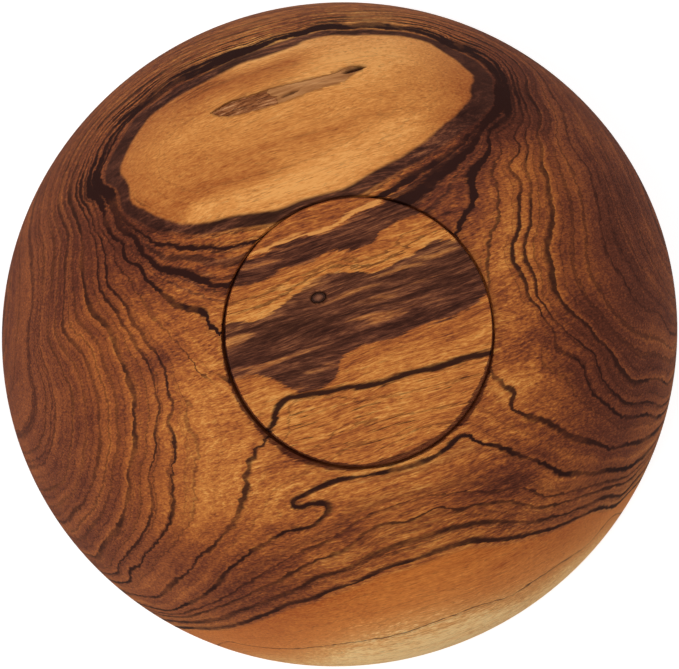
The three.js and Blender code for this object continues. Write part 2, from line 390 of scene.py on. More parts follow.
LAYER_PIXELS = (
    (EYE_HEART, ((290, 125), (220, 150), (380, 100), (165, 160), (430, 85))),
    (EYE_EDGE, (
        (123, 160), (125, 180), (130, 197), (140, 208), (155, 216), (180, 224), (205, 223), (225, 218),
        (250, 214), (280, 210), (312, 198), (345, 189), (372, 173), (400, 158), (425, 142), (445, 124),
        (462, 108), (471, 88), (463, 66), (440, 50), (420, 40), (400, 36), (380, 35), (360, 35),
        (340, 35), (320, 37), (300, 43), (280, 51), (260, 58), (240, 64), (220, 74), (185, 92),
        (145, 122),
    )),
    (BAND_EDGE, (
        (108, 163), (107, 185), (122, 210), (145, 226), (175, 233), (205, 235), (235, 230), (265, 226),
        (300, 215), (345, 202), (376, 187), (405, 170), (432, 154), (455, 138), (478, 122), (495, 100),
        (493, 80), (478, 62), (460, 52), (440, 42), (420, 35), (400, 31), (380, 30), (360, 29),
        (340, 30), (320, 31), (300, 36), (280, 42), (260, 49), (240, 56), (225, 63), (180, 85),
        (140, 113),
    )),
    (SECOND_LINE, ((148, 240), (160, 245), (175, 248), (190, 249), (205, 250), (225, 252))),
    (SECOND_BAND, (
        (105, 195), (115, 215), (125, 232), (140, 252), (150, 262), (160, 270), (175, 273), (190, 278),
        (205, 284), (215, 288),
    )),
    (JAGGED, (
        (105, 225), (112, 235), (122, 242), (124, 255), (130, 264), (140, 270), (145, 280), (155, 288),
        (163, 296), (175, 305), (190, 310), (201, 313), (208, 325), (215, 332), (222, 338), (93, 165),
        (140, 104), (200, 65), (250, 47), (300, 32), (350, 26), (400, 27), (450, 41), (505, 80),
        (508, 100), (492, 130), (489, 150), (475, 175), (475, 200), (466, 218), (459, 235),
    )),
    (FAINT, ((500, 155), (500, 200), (493, 235), (491, 262), (105, 235))),
    (DOUBLE_INNER, (
        (98, 235), (86, 165), (140, 97), (200, 59), (250, 42), (300, 28), (350, 21), (400, 22),
        (450, 35), (108, 285), (120, 300), (132, 322), (147, 345), (160, 362), (166, 390), (168, 420),
        (173, 445), (170, 475), (172, 505), (163, 530), (147, 550), (130, 570), (520, 100), (520, 125),
        (520, 150), (511, 168), (521, 180), (520, 230), (517, 265), (528, 283), (537, 305), (550, 325),
        (557, 345), (575, 357), (587, 375), (600, 398), (612, 407), (645, 412),
    )),
    (DOUBLE_OUTER, (
        (92, 235), (105, 300), (120, 322), (137, 350), (152, 378), (158, 405), (155, 440), (147, 475),
        (530, 125), (528, 145), (532, 190), (528, 235), (528, 262), (540, 300), (553, 318), (575, 338),
        (593, 352),
    )),
    (BROAD, (
        (80, 235), (76, 165), (140, 88), (200, 52), (250, 35), (300, 22), (350, 16), (400, 16),
        (450, 28), (80, 262), (84, 290), (95, 318), (105, 328), (111, 340), (124, 370), (133, 400),
        (134, 445), (128, 480), (126, 500), (115, 530), (98, 555), (530, 95), (539, 130), (543, 165),
        (551, 195), (549, 250), (555, 285), (564, 302), (582, 320), (600, 340), (617, 362), (633, 380),
        (668, 383),
    )),
    (OUTER, (
        (67, 235), (68, 165), (140, 80), (200, 46), (250, 29), (300, 16), (350, 11), (400, 12),
        (450, 23), (62, 330), (78, 350), (90, 375), (98, 415), (97, 455), (88, 490), (74, 510),
        (563, 110), (572, 145), (590, 170), (600, 210), (610, 255), (624, 275), (640, 302), (660, 312),
    )),
    (RIM, (
        (52, 235), (60, 165), (140, 73), (200, 40), (250, 23), (300, 11), (350, 7), (400, 8), (450, 18),
        (50, 300), (57, 360), (68, 385), (72, 405), (69, 450), (63, 480), (585, 115), (602, 145),
        (623, 190), (640, 230), (655, 265), (668, 290),
    )),
    (RIM + 1, ((33, 300), (36, 400), (600, 112), (627, 155), (650, 208), (664, 245))),
    (LOW_JAGGED, (
        (490, 365), (503, 380), (517, 395), (515, 408), (535, 416), (567, 433), (590, 440), (612, 447),
        (640, 441), (265, 435), (255, 444), (248, 457), (243, 473), (242, 490), (238, 505), (235, 518),
        (225, 530), (213, 544), (190, 568), (175, 581), (160, 595),
    )),
    (HOOK, (
        (468, 431), (479, 437), (505, 447), (533, 457), (550, 466), (580, 472), (605, 470), (635, 463),
        (450, 437), (430, 450), (398, 463), (372, 469), (350, 474), (325, 482), (308, 491), (292, 500),
        (300, 508), (316, 504), (327, 505), (325, 513), (318, 520), (305, 527), (290, 528), (275, 535),
        (260, 545), (245, 555), (230, 567), (220, 578), (208, 591), (190, 602), (165, 610),
    )),
    (LOW_THIN, ((360, 518), (385, 508), (410, 499), (440, 494), (462, 490), (490, 491))),
    (LOW_FINE, (
        (345, 548), (365, 531), (385, 523), (405, 520), (420, 515), (432, 508), (446, 506), (456, 510),
        (470, 505), (500, 500), (540, 507), (240, 598), (270, 584), (300, 568), (325, 556),
    )),
    (LOW_TWIN, (
        (225, 617), (250, 607), (275, 598), (300, 588), (320, 577), (345, 570), (365, 558), (390, 547),
        (415, 540), (440, 532), (465, 525), (480, 523), (510, 522), (540, 520), (570, 512), (590, 504),
        (612, 497),
    )),
    (SAP_EDGE, (
        (215, 629), (240, 624), (262, 616), (290, 605), (310, 600), (330, 591), (360, 580), (385, 569),
        (410, 562), (440, 551), (465, 543), (500, 540), (530, 535), (555, 528), (576, 518), (592, 511),
        (618, 504),
    )),
    (SAP_LINE, (
        (245, 645), (275, 648), (300, 648), (330, 645), (360, 641), (390, 636), (410, 630), (430, 623),
        (450, 616), (480, 605), (510, 595), (540, 577), (570, 557), (590, 542), (612, 517), (230, 642),
    )),
    (SAP_RIM, ((262, 655), (310, 660), (380, 660), (450, 643), (510, 615), (560, 580), (600, 545))),
    (HOOK - HOOK_SLOPE, ((318, 497), (338, 490), (332, 526), (345, 512))),
    (HOOK + HOOK_SLOPE, ((305, 518), (283, 515), (298, 487), (270, 520))),
    ((DOUBLE_INNER + LOW_JAGGED) / 2, ((200, 400), (212, 450), (505, 315), (535, 372))),
)

# How light the wood is between its lines, from dark reddish brown, 0, to the palest sapwood, 1.3
TONE_PIXELS = (
    (0.08, ((490, 95), (482, 118))),
    (0.27, (
        (440, 185), (430, 172), (460, 160), (600, 290), (600, 425), (600, 180), (625, 330), (515, 483),
    )),
    (0.34, (
        (650, 280), (575, 220), (640, 410), (450, 215), (150, 232), (128, 212), (570, 370), (530, 80),
    )),
    (0.40, (
        (165, 352), (25, 330), (75, 300), (230, 580), (300, 598), (60, 420), (30, 420), (45, 240),
        (655, 370), (110, 540), (570, 130), (75, 180), (530, 340),
    )),
    (0.46, (
        (100, 420), (170, 570), (560, 470), (145, 300), (345, 530), (600, 488), (470, 40), (200, 262),
        (165, 256),
    )),
    (0.54, (
        (540, 500), (500, 200), (540, 220), (215, 300), (150, 480), (110, 350), (480, 520), (120, 120),
        (190, 240),
    )),
    (0.62, (
        (300, 25), (510, 290), (330, 555), (505, 250), (160, 330), (290, 470), (400, 540), (535, 300),
        (520, 160), (190, 60),
    )),
    (0.73, (
        (195, 380), (200, 460), (205, 500), (350, 500), (400, 490), (420, 505), (190, 345), (515, 385),
        (350, 15), (205, 410),
    )),
    (0.60, ((500, 565), (560, 535), (280, 632), (560, 495), (545, 486))),
    (0.79, ((400, 600), (340, 620), (460, 580))),
    (0.40, (
        (190, 97), (203, 93), (215, 88), (228, 84), (240, 80), (252, 76), (264, 71), (276, 67),
        (287, 63),
    )),
    (0.54, (
        (195, 199), (210, 194), (228, 187), (245, 182), (262, 175), (185, 186), (210, 180), (238, 174),
        (155, 195), (455, 85), (455, 105), (440, 116), (165, 206), (184, 208), (133, 165), (140, 190),
        (298, 59),
    )),
    (0.64, ((150, 150), (160, 175), (280, 156), (312, 141), (345, 129), (200, 165), (440, 66))),
    (0.77, (
        (175, 140), (205, 130), (290, 127), (330, 116), (380, 113), (235, 145), (420, 100), (400, 82),
        (215, 101), (240, 93), (265, 84),
    )),
    (0.88, ((250, 121), (300, 106), (340, 92), (290, 76), (230, 69))),
    (1.00, (
        (195, 207), (211, 203), (228, 197), (245, 192), (262, 187), (205, 212), (230, 206), (258, 199),
        (290, 180), (320, 164), (350, 151), (386, 140), (410, 128), (243, 65), (300, 47),
    )),
    (1.05, ((258, 60), (272, 56), (286, 51), (315, 68), (345, 57), (375, 71), (390, 44))),
    (1.12, ((520, 602), (560, 574), (590, 550))),
    (1.30, ((350, 656), (430, 642), (490, 618))),
)

# The foot disc's own layers: it is a separate piece, so its bands stop at the groove
FOOT_LAYER_PIXELS = (
    (FIRST_BAND_TOP - 1, ((300, 215), (330, 207))),
    (FIRST_BAND_TOP, (
        (246, 260), (272, 251), (301, 239), (321, 234), (338, 227), (352, 217), (375, 207),
    )),
    (FIRST_BAND_END, (
        (236, 287), (255, 284), (272, 276), (289, 267), (309, 263), (325, 253), (352, 251), (375, 243),
        (380, 232), (398, 222), (412, 217),
    )),
    (BROAD_BAND_TOP, (
        (232, 323), (258, 319), (284, 302), (301, 290), (318, 279), (335, 273), (358, 271), (375, 272),
        (392, 264), (410, 256), (421, 246), (435, 239), (455, 240),
    )),
    (BROAD_BAND_END, (
        (485, 297), (472, 307), (444, 319), (415, 329), (398, 337), (375, 342), (352, 350), (341, 359),
        (338, 369), (334, 379), (326, 386), (312, 389), (298, 391), (289, 387), (279, 381), (264, 377),
        (246, 377),
    )),
    (FOOT_FORK, (
        (487, 354), (464, 359), (438, 367), (410, 374), (387, 382), (358, 387), (335, 391), (315, 394),
        (296, 397), (283, 402), (277, 411), (274, 424),
    )),
    (FOOT_FORK + 1, ((470, 395), (420, 405), (370, 415), (320, 430))),
    (FOOT_FORK + 2, ((440, 435), (400, 450), (350, 460))),
)

# How far the painted shade along the foot's ring reaches, inwards and outwards in millimetres,
# at pixels on the ring
RING_SHADE_PIXELS = (
    ((228, 320), 0.3, 0.7), ((240, 393), 0.5, 1.9), ((265, 430), 0.6, 2.2), ((300, 457), 0.6, 2.9),
    ((340, 467), 0.8, 1.7), ((365, 468), 0.9, 1.0), ((400, 462), 2.0, 1.0), ((425, 451), 2.5, 1.2),
    ((450, 433), 1.3, 1.2), ((468, 417), 1.7, 2.2), ((480, 392), 1.6, 2.0), ((490, 350), 0.5, 0.9),
    ((480, 280), 0.1, 0.1), ((440, 222), 0.05, 0.05), ((350, 197), 0.05, 0.05), ((270, 230), 0.05, 0.05),
)
INWARDS, OUTWARDS = -1, 1

HALVINGS = 40  # when a place on the wall is looked for
BLOCK = 4000  # points that are worked out at once


def rays(pixels):
    """Ways from the camera through pixels of the photograph."""
    pixels = np.asarray(pixels, float)
    offset = (pixels - np.array(PHOTO_SIZE) / 2) / FOCAL_PIXELS
    return photo_in + offset[:, :1] * photo_right + offset[:, 1:] * photo_down


def on_wall(pixels):
    """Where the outside of the body lies under pixels of the photograph."""
    ways = rays(pixels)
    ways /= ways[:, 2:]
    low = np.zeros(len(ways))
    high = np.full(len(ways), BOWL_HEIGHT)
    for _ in range(HALVINGS):
        middle = (low + high) / 2
        places = CAMERA_PLACE + ways * (middle - CAMERA_PLACE[2])[:, None]
        outside = middle < wall_height(turned_radius(places))
        low = np.where(outside, middle, low)
        high = np.where(outside, high, middle)
    return CAMERA_PLACE + ways * (low - CAMERA_PLACE[2])[:, None]


def on_foot(pixels):
    """Where the foot's face lies under pixels of the photograph."""
    ways = rays(pixels)
    return CAMERA_PLACE - ways / ways[:, 2:] * CAMERA_PLACE[2]


def ring_shade_reach(points, way):
    """How far the painted shade along the foot's ring reaches inwards or outwards, at the angle of each
    point.
    """
    pixels, inwards, outwards = zip(*RING_SHADE_PIXELS)
    ring = on_foot(pixels)
    reaches = inwards if way == INWARDS else outwards
    angles = np.arctan2(points[:, 1], points[:, 0])
    return np.interp(angles, np.arctan2(ring[:, 1], ring[:, 0]), reaches, period=2 * math.pi)


FIELD_SCALE = np.array((0.7, 1.0, 1.0))  # fields change more slowly along the grain
LAYER_ROUNDING = 3.0  # millimetres over which a field of layers turns a corner
TONE_ROUNDING = 1.2
FIELD_SLACK = 0.02  # lets a field miss crowded pixels a little


def field_through(pixel_lists, cast, rounding):
    """A smooth field through values at pixels; it returns values and slopes per millimetre at points."""
    known = np.concatenate([cast(pixels) for _, pixels in pixel_lists]) * FIELD_SCALE
    values = np.concatenate([np.full(len(pixels), value) for value, pixels in pixel_lists])
    count = len(values)
    gaps = np.linalg.norm(known[:, None] - known[None], axis=2)
    system = np.ones((count + 1, count + 1))
    system[:count, :count] = -np.hypot(gaps, rounding) + FIELD_SLACK * np.eye(count)
    system[count, count] = 0
    weights = np.linalg.solve(system, np.append(values, 0))

    def field(points):
        found = np.empty(len(points))
        slopes = np.empty((len(points), 3))
        for start in range(0, len(points), BLOCK):
            block = slice(start, start + BLOCK)
            apart = points[block, None] * FIELD_SCALE - known[None]
            reach = np.hypot(np.linalg.norm(apart, axis=2), rounding)
            found[block] = weights[count] - reach @ weights[:count]
            slopes[block] = -np.einsum("ijk,ij->ik", apart, weights[:count] / reach) * FIELD_SCALE
        return found, slopes

    return field


LEAST_PACE = 0.012  # growth layers per millimetre of the surface where they are furthest apart
LAYERS_PER_MM = 0.28  # of depth below the outside
UNDERSIDE_POINTS = 60
UNDERSIDE = np.concatenate((line((0, FOOT_PROUD), WALL_FOOT, UNDERSIDE_POINTS), WALL_SAMPLES))


def depth_below_outside(points):
    """How far points are from the nearest place on the body's outside."""
    profile = np.stack((turned_radius(points), points[:, 2]), axis=1)
    depth = np.empty(len(points))
    for start in range(0, len(points), BLOCK):
        block = slice(start, start + BLOCK)
        depth[block] = np.linalg.norm(profile[block, None] - UNDERSIDE[None], axis=2).min(axis=1)
    return depth


def write_attribute(mesh, name, values):
    written = mesh.attributes.new(name, "FLOAT", "POINT")
    written.data.foreach_set("value", np.ascontiguousarray(values, np.float32))


def mesh_points(mesh):
    points = np.empty(len(mesh.vertices) * 3)
    mesh.vertices.foreach_get("co", points)
    return points.reshape(-1, 3) / MM


def mesh_normals(mesh):
    normals = np.empty(len(mesh.vertices) * 3)
    mesh.vertices.foreach_get("normal", normals)
    return normals.reshape(-1, 3)


def grow_layers(piece, field, depth_share):
    """Writes the growth layer at each point, how fast it changes there, and how much of it is end grain."""
    points = mesh_points(piece.data)
    normals = mesh_normals(piece.data)
    layers, slopes = field(points)
    flat = slopes - normals * np.sum(slopes * normals, axis=1, keepdims=True)
    pace = np.maximum(np.linalg.norm(flat, axis=1), LEAST_PACE)
    if depth_share:
        layers = layers + depth_share * depth_below_outside(points)
    write_attribute(piece.data, "layer", layers)
    write_attribute(piece.data, "pace", pace)
    write_attribute(piece.data, "ends", np.abs(normals[:, 0]))


# Colours and the nodes that mix them
def srgb(red, green, blue):
    """A colour as written in 0 to 255, as the linear value that a node takes."""
    def linear(value):
        share = value / 255
        return share / 12.92 if share <= 0.04045 else ((share + 0.055) / 1.055) ** 2.4
    return (linear(red), linear(green), linear(blue), 1.0)


MIX_SHARE, MIX_FIRST, MIX_SECOND, MIX_RESULT = 0, 6, 7, 2  # the sockets of a Mix node for colours


def ranged(tree, value, low, high, to_low=0.0, to_high=1.0, kind="SMOOTHSTEP"):
    """A value taken from one range to another; low may lie above high."""
    return add(tree, "ShaderNodeMapRange", {
        "Value": value, "From Min": low, "From Max": high, "To Min": to_low, "To Max": to_high,
    }, interpolation_type=kind).outputs[0]


def blended(tree, share, first, second, mode="MIX"):
    return add(tree, "ShaderNodeMix", {
        MIX_SHARE: share, MIX_FIRST: first, MIX_SECOND: second,
    }, data_type="RGBA", blend_type=mode).outputs[MIX_RESULT]


def ramp(tree, value, stops):
    made = add(tree, "ShaderNodeValToRGB", {0: value})
    colours = made.color_ramp.elements
    while len(colours) < len(stops):
        colours.new(0.5)
    for element, (place, colour) in zip(colours, stops):
        element.position = place
        element.color = colour
    return made.outputs[0]


def stretched(tree, vector, along, across):
    """Object coordinates in units of a feature's size in millimetres along and across the grain."""
    scale = [1 / (size * MM) for size in (along, across, across)]
    return add(tree, "ShaderNodeMapping", {"Vector": vector, "Scale": scale}).outputs[0]


def grain_noise(tree, vector, along, across, detail, rough, twist=0.0):
    """A noise of a given size in millimetres along and across the grain."""
    return add(tree, "ShaderNodeTexNoise", {
        "Vector": stretched(tree, vector, along, across), "Scale": 1.0,
        "Detail": detail, "Roughness": rough, "Distortion": twist,
    }).outputs[0]


def layer_noise(tree, layer, scale, detail, rough):
    """A noise that changes only from one growth layer to the next."""
    return add(tree, "ShaderNodeTexNoise", {
        "W": layer, "Scale": scale, "Detail": detail, "Roughness": rough,
    }, noise_dimensions="1D").outputs[0]


def times(tree, first, second):
    return maths(tree, "MULTIPLY", first, second)


def centred(tree, noise_value):
    return maths(tree, "SUBTRACT", noise_value, 0.5)


def varied(tree, value, changes):
    """A value with noises added about their middles, each with its own weight."""
    for change, weight in changes:
        value = maths(tree, "MULTIPLY_ADD", centred(tree, change), weight, value)
    return value


def strongest(tree, masks):
    total = masks[0]
    for mask in masks[1:]:
        total = maths(tree, "MAXIMUM", total, mask)
    return total


def placed(tree, group, inputs):
    made = tree.nodes.new("ShaderNodeGroup")
    made.node_tree = group
    for name, value in inputs.items():
        feed(tree, made.inputs[name], value)
    return made.outputs


# Shader groups
LINE_HEART = 0.3  # how much of each side of a growth line is fully dark


def growth_line_group():
    """One growth line: it darkens over its soft side, on the bark's side, and ends over its sharp side."""
    names = ("Layer", "Pace", "Place", "Soft Side", "Sharp Side", "Strength")
    tree, given, result = new_tree(
        "growth_line", "ShaderNodeTree", [(name, FLOAT) for name in names], (("Mask", FLOAT),))
    away = maths(tree, "DIVIDE", maths(tree, "SUBTRACT", given["Layer"], given["Place"]), given["Pace"])
    soft, sharp = given["Soft Side"], given["Sharp Side"]
    rise = ranged(tree, away, times(tree, soft, -1.0), times(tree, soft, -LINE_HEART))
    fall = ranged(tree, away, times(tree, sharp, LINE_HEART), sharp, 1.0, 0.0)
    feed(tree, result[0], times(tree, times(tree, rise, fall), given["Strength"]))
    return tree


def growth_band_group():
    """A broad dark band between two growth layers, with edges of a given softness in millimetres."""
    names = ("Layer", "Pace", "From", "To", "Softness", "Strength")
    tree, given, result = new_tree(
        "growth_band", "ShaderNodeTree", [(name, FLOAT) for name in names], (("Mask", FLOAT),))
    half = times(tree, given["Softness"], 0.5)
    back = times(tree, half, -1.0)
    after = maths(tree, "DIVIDE", maths(tree, "SUBTRACT", given["Layer"], given["From"]), given["Pace"])
    before = maths(tree, "DIVIDE", maths(tree, "SUBTRACT", given["To"], given["Layer"]), given["Pace"])
    inside = times(tree, ranged(tree, after, back, half), ranged(tree, before, back, half))
    feed(tree, result[0], times(tree, inside, given["Strength"]))
    return tree


# The grain's noises: size along and across it in millimetres, detail, roughness and twist
WAVE_NOISE = (40, 14, 1.0, 0.5)
SLOW_NOISE = (34, 7, 2.0, 0.5)
QUICK_NOISE = (14, 1.9, 3.0, 0.6)
JITTER_NOISE = (3.0, 1.1, 2.0, 0.6)
FRAY_NOISE = (13, 1.3, 4.0, 0.6, 0.4)
STREAK_NOISE = (20, 1.6, 4.0, 0.6, 0.3)
FIBRE_NOISE = (4.5, 0.42, 3.0, 0.7, 0.2)
SPECK_NOISE = (3.6, 0.45, 2.0, 0.5)
STROKE_NOISE = (12, 0.8, 3.0, 0.55, 0.5)
GRIT_NOISE = (2.2, 0.6, 1.0, 0.6)
CLOUD_NOISE = (45, 16, 3.0, 0.55)
FLAME_NOISE = (40, 4, 4.0, 0.6, 0.5)

WAVE_SWING = 6  # how far the grain's waves would swing across it at their strongest
SLOW_WANDER, QUICK_WANDER, JITTER_WANDER = 3.0, 2.0, 1.7
FRAY_REACH = 8.0
PORE_LEVELS = (0.6, 0.7)  # the specks between which a pore opens
STROKE_LEVELS = (0.58, 0.68)
STREAK_HEIGHT, PORE_HEIGHT = 0.5, -0.8  # beside the fibres, in the bump


def olive_grain_group():
    """Fibres, pores and the small wander of growth lines, all drawn out along the grain."""
    names = ("Wander", "Fray", "Streak", "Fibre", "Grit", "Pores", "Cloud", "Flame", "Strokes", "Height")
    tree, given, result = new_tree(
        "olive_grain", "ShaderNodeTree", (("Vector", VECTOR),), [(name, FLOAT) for name in names])
    wave = centred(tree, grain_noise(tree, given["Vector"], *WAVE_NOISE))
    swing = add(tree, "ShaderNodeCombineXYZ", {1: times(tree, wave, WAVE_SWING * MM)}).outputs[0]
    vector = add(tree, "ShaderNodeVectorMath", {0: given["Vector"], 1: swing}).outputs[0]
    streak = grain_noise(tree, vector, *STREAK_NOISE)
    fibre = grain_noise(tree, vector, *FIBRE_NOISE)
    pores = ranged(tree, grain_noise(tree, vector, *SPECK_NOISE), *PORE_LEVELS)
    threads = maths(tree, "MULTIPLY_ADD", streak, STREAK_HEIGHT, fibre)
    values = {
        "Wander": varied(tree, 0.0, (
            (grain_noise(tree, vector, *SLOW_NOISE), SLOW_WANDER),
            (grain_noise(tree, vector, *QUICK_NOISE), QUICK_WANDER),
            (grain_noise(tree, vector, *JITTER_NOISE), JITTER_WANDER),
        )),
        "Fray": times(tree, centred(tree, grain_noise(tree, vector, *FRAY_NOISE)), FRAY_REACH),
        "Streak": streak,
        "Fibre": fibre,
        "Grit": grain_noise(tree, vector, *GRIT_NOISE),
        "Pores": pores,
        "Cloud": grain_noise(tree, vector, *CLOUD_NOISE),
        "Flame": grain_noise(tree, vector, *FLAME_NOISE),
        "Strokes": ranged(tree, grain_noise(tree, vector, *STROKE_NOISE), *STROKE_LEVELS),
        "Height": maths(tree, "MULTIPLY_ADD", pores, PORE_HEIGHT, threads),
    }
    for name in names:
        feed(tree, result[name], values[name])
    return tree


DARK_STOPS = (
    (0.2, srgb(42, 21, 17)), (0.45, srgb(62, 33, 25)), (0.62, srgb(90, 50, 36)),
    (0.78, srgb(122, 72, 48)), (0.95, srgb(160, 98, 58)),
)
DARK_CHANGES = {"Streak": 1.0, "Fibre": 1.1, "Flame": 1.4}  # how strongly the noises vary the dark wood


def dark_wood_group():
    """The dark wood of bands, with its own reddish streaks."""
    tree, given, result = new_tree(
        "dark_wood", "ShaderNodeTree",
        [(name, FLOAT) for name in (*DARK_CHANGES, "Lightness")], (("Color", COLOUR),))
    changes = [(given[name], weight) for name, weight in DARK_CHANGES.items()]
    feed(tree, result[0], ramp(tree, varied(tree, given["Lightness"], changes), DARK_STOPS))
    return tree


# What the materials share
LINE_COLOUR = srgb(46, 22, 17)
HOLLOW_SHADE_COLOUR = srgb(58, 30, 18)  # painted shade inside the bark pocket, the knot's hole and the filler's hollows
RING_SHADE_TINT = srgb(146, 136, 164)  # painted shade along the foot's ring; multiplies the wood's own colour
RING_SHADE_FRAY = 0.2  # how much of the grain's fraying moves the edge of the painted ring shade
RING_SHADE_EDGE = (1.15, 0.8)  # the shares of its reach between which the painted ring shade gets full
GROOVE_SHADE_AND_RESIDUE_TINT = srgb(216, 202, 192)  # painted shade in the groove and on the foot's rounded edge, partly finish gathered there; multiplies the wood's own colour
SATIN_ROUGHNESS, STREAK_ROUGHNESS = 0.36, 0.16
SATIN_SPECULAR = 0.15
GRAIN_BUMP = (0.05, 0.5)  # depth in millimetres, and strength


def new_material(name):
    material = bpy.data.materials.new(name)
    material.use_nodes = True
    tree = material.node_tree
    tree.nodes.clear()
    output = tree.nodes.new("ShaderNodeOutputMaterial")
    shader = tree.nodes.new("ShaderNodeBsdfPrincipled")
    tree.links.new(shader.outputs[0], output.inputs[0])
    return material, tree, shader


def attribute(tree, name):
    return add(tree, "ShaderNodeAttribute", attribute_type="GEOMETRY", attribute_name=name).outputs["Fac"]


def length(tree, vector):
    return add(tree, "ShaderNodeVectorMath", {0: vector}, operation="LENGTH").outputs["Value"]


def give_surface(tree, shader, colour, roughness, specular, height, bump):
    """Gives a shader its colour, roughness and gloss, and a bump's depth in millimetres and strength."""
    feed(tree, shader.inputs["Base Color"], colour)
    feed(tree, shader.inputs["Roughness"], roughness)
    shader.inputs["Specular IOR Level"].default_value = specular
    depth, strength = bump
    relief = add(tree, "ShaderNodeBump", {"Height": height, "Distance": depth * MM, "Strength": strength})
    feed(tree, shader.inputs["Normal"], relief.outputs[0])


def object_vector(tree):
    return tree.nodes.new("ShaderNodeTexCoord").outputs["Object"]


class Wood:
    """What the parts of a wood's material share: its coordinates, its grain and its growth layers."""

    def __init__(self, tree, groups):
        self.tree = tree
        self.groups = groups
        self.vector = object_vector(tree)
        self.place = add(tree, "ShaderNodeSeparateXYZ", {0: self.vector}).outputs
        self.grain = placed(tree, groups["grain"], {"Vector": self.vector})
        self.pace = attribute(tree, "pace")
        self.layer = attribute(tree, "layer")

    def moved(self, layer, reach, share):
        """A growth layer moved by a share of a reach in millimetres."""
        return maths(self.tree, "MULTIPLY_ADD", times(self.tree, reach, share), self.pace, layer)

    def growth_line(self, layer, place, soft, sharp, strength):
        return placed(self.tree, self.groups["line"], {
            "Layer": layer, "Pace": self.pace, "Place": place,
            "Soft Side": soft, "Sharp Side": sharp, "Strength": strength,
        })["Mask"]

    def growth_band(self, layer, start, end, softness, strength):
        return placed(self.tree, self.groups["band"], {
            "Layer": layer, "Pace": self.pace, "From": start, "To": end,
            "Softness": softness, "Strength": strength,
        })["Mask"]

    def dark_wood(self, noises, lightness):
        inputs = {name: noises[name] for name in DARK_CHANGES}
        return placed(self.tree, self.groups["dark"], {**inputs, "Lightness": lightness})["Color"]

    def radius(self):
        """How far from the bowl's axis a place is."""
        flat = add(self.tree, "ShaderNodeCombineXYZ", {0: self.place[0], 1: self.place[1]})
        return length(self.tree, flat.outputs[0])

    def painted_ring_shade(self, radius, edge, way):
        """How much of the painted shade along the foot's ring covers a place inwards or outwards of an
        edge.
        """
        away = maths(self.tree, "MULTIPLY_ADD", radius, way / MM, -way * edge)
        share = maths(self.tree, "DIVIDE", away, attribute(self.tree, "painted_ring_shade"))
        frayed = maths(self.tree, "MULTIPLY_ADD", self.grain["Fray"], RING_SHADE_FRAY, share)
        return ranged(self.tree, frayed, *RING_SHADE_EDGE)

    def satin(self, shader, colour):
        """Oiled and sanded wood, a little rougher in its pale streaks."""
        roughness = maths(
            self.tree, "MULTIPLY_ADD", self.grain["Streak"], STREAK_ROUGHNESS, SATIN_ROUGHNESS)
        give_surface(self.tree, shader, colour, roughness, SATIN_SPECULAR, self.grain["Height"], GRAIN_BUMP)


# The body's lines: layer, soft side and sharp side in millimetres, strength
EYE_SIDE_LINES = (
    (SECOND_LINE, 1.7, 0.9, 1.2),
    (SECOND_BAND, 3.4, 1.3, 1.3),
    (JAGGED, 2.2, 1.3, 1.3),
    (FAINT, 0.9, 0.5, 0.75),
)
SAP_SIDE_LINES = (
    (LOW_JAGGED, 1.5, 0.9, 0.92),
    (HOOK, 1.4, 1.0, 1.0),
    (LOW_THIN, 0.9, 0.5, 0.75),
    (LOW_FINE, 1.0, 0.6, 0.85),
    (LOW_TWIN, 0.8, 1.3, 0.9),
    (SAP_EDGE, 0.7, 2.0, 0.95),
    (SAP_LINE, 0.5, 0.5, 0.8),
)
END_GRAIN_LINES = (
    (DOUBLE_INNER, 1.2, 0.6, 0.95),
    (DOUBLE_OUTER, 1.0, 0.5, 0.9),
    (BROAD, 1.9, 0.7, 0.9),
    (BROAD + 0.5, 1.0, 0.5, 0.5),
    (OUTER, 1.3, 0.6, 0.7),
    (OUTER + 0.4, 1.0, 0.5, 0.45),
    (RIM, 1.2, 0.6, 0.6),
    (RIM + 0.5, 1.0, 0.5, 0.5),
    (RIM + 1.0, 1.0, 0.5, 0.45),
    (RIM + 1.5, 1.0, 0.5, 0.45),
)
# Faint lines in the darker parts of the eye
INNER_LINES = (
    (EYE_EDGE - 0.22, 0.9, 0.4, 0.5),
    (EYE_EDGE - 0.42, 0.7, 0.4, 0.4),
    (EYE_EDGE - 0.62, 0.8, 0.4, 0.45),
)
INNER_ALONG = (10, 2)  # where along the grain those lines end, and where they are full
INNER_TONES = (0.52, 0.42)  # the tone at which they start, and the one at which they are full
LINE_PATCHES = (22, 14, 3.0, 0.6)  # the noise over which lines fade
FADE_LEVELS, LINE_FADE = (0.38, 0.56), (0.6, 1.0)  # how faint and how dark a line gets
SWELL_LEVELS, LINE_SWELL = (0.36, 0.64), (0.6, 1.5)  # how thin and how thick it gets
HAIR_NOISE, HAIR_LEVELS = (9.0, 2.0, 0.6), (0.55, 0.7)  # hairlines between the drawn lines
HAIR_LAYERS, HAIR_STRENGTH = (2.5, 4.5), (0.15, 0.5)

# The body's bands: from, to, softness in millimetres, strength
EYE_BAND = (EYE_EDGE, BAND_EDGE, 1.6, 0.98)
EYE_STREAKED_BAND = (BAND_EDGE, JAGGED - 0.3, 2.0, 0.8)
SAP_STREAKED_BAND = (SAP_EDGE, LOW_TWIN, 1.5, 0.65)
HOOK_STREAKED_BAND = (LOW_TWIN, HOOK, 6.0, 0.3)
BAND_STREAKS, BAND_STREAK_LEVELS = (4.2, 3.0, 0.6), (0.46, 0.6)

# Shares of the grain's wander that move the growth layers
WANDER_SHARES = {"smooth": 0.2, "calm": 0.4, "lively": 0.7, "restless": 1.0}
FRAYED_SHARE = 0.5
SIDE_BLEND = 4  # half the width over which the eye's side becomes the sap's side
SAP_LAYERS = (EYE_EDGE + 0.14, EYE_EDGE - 0.02)  # between these heartwood becomes sapwood
END_GRAIN_TURN = (0.15, 0.55)  # how far the surface faces along the grain as end grain starts to show
END_GRAIN_SHARE = 0.25  # how much of the side grain's noises end grain keeps

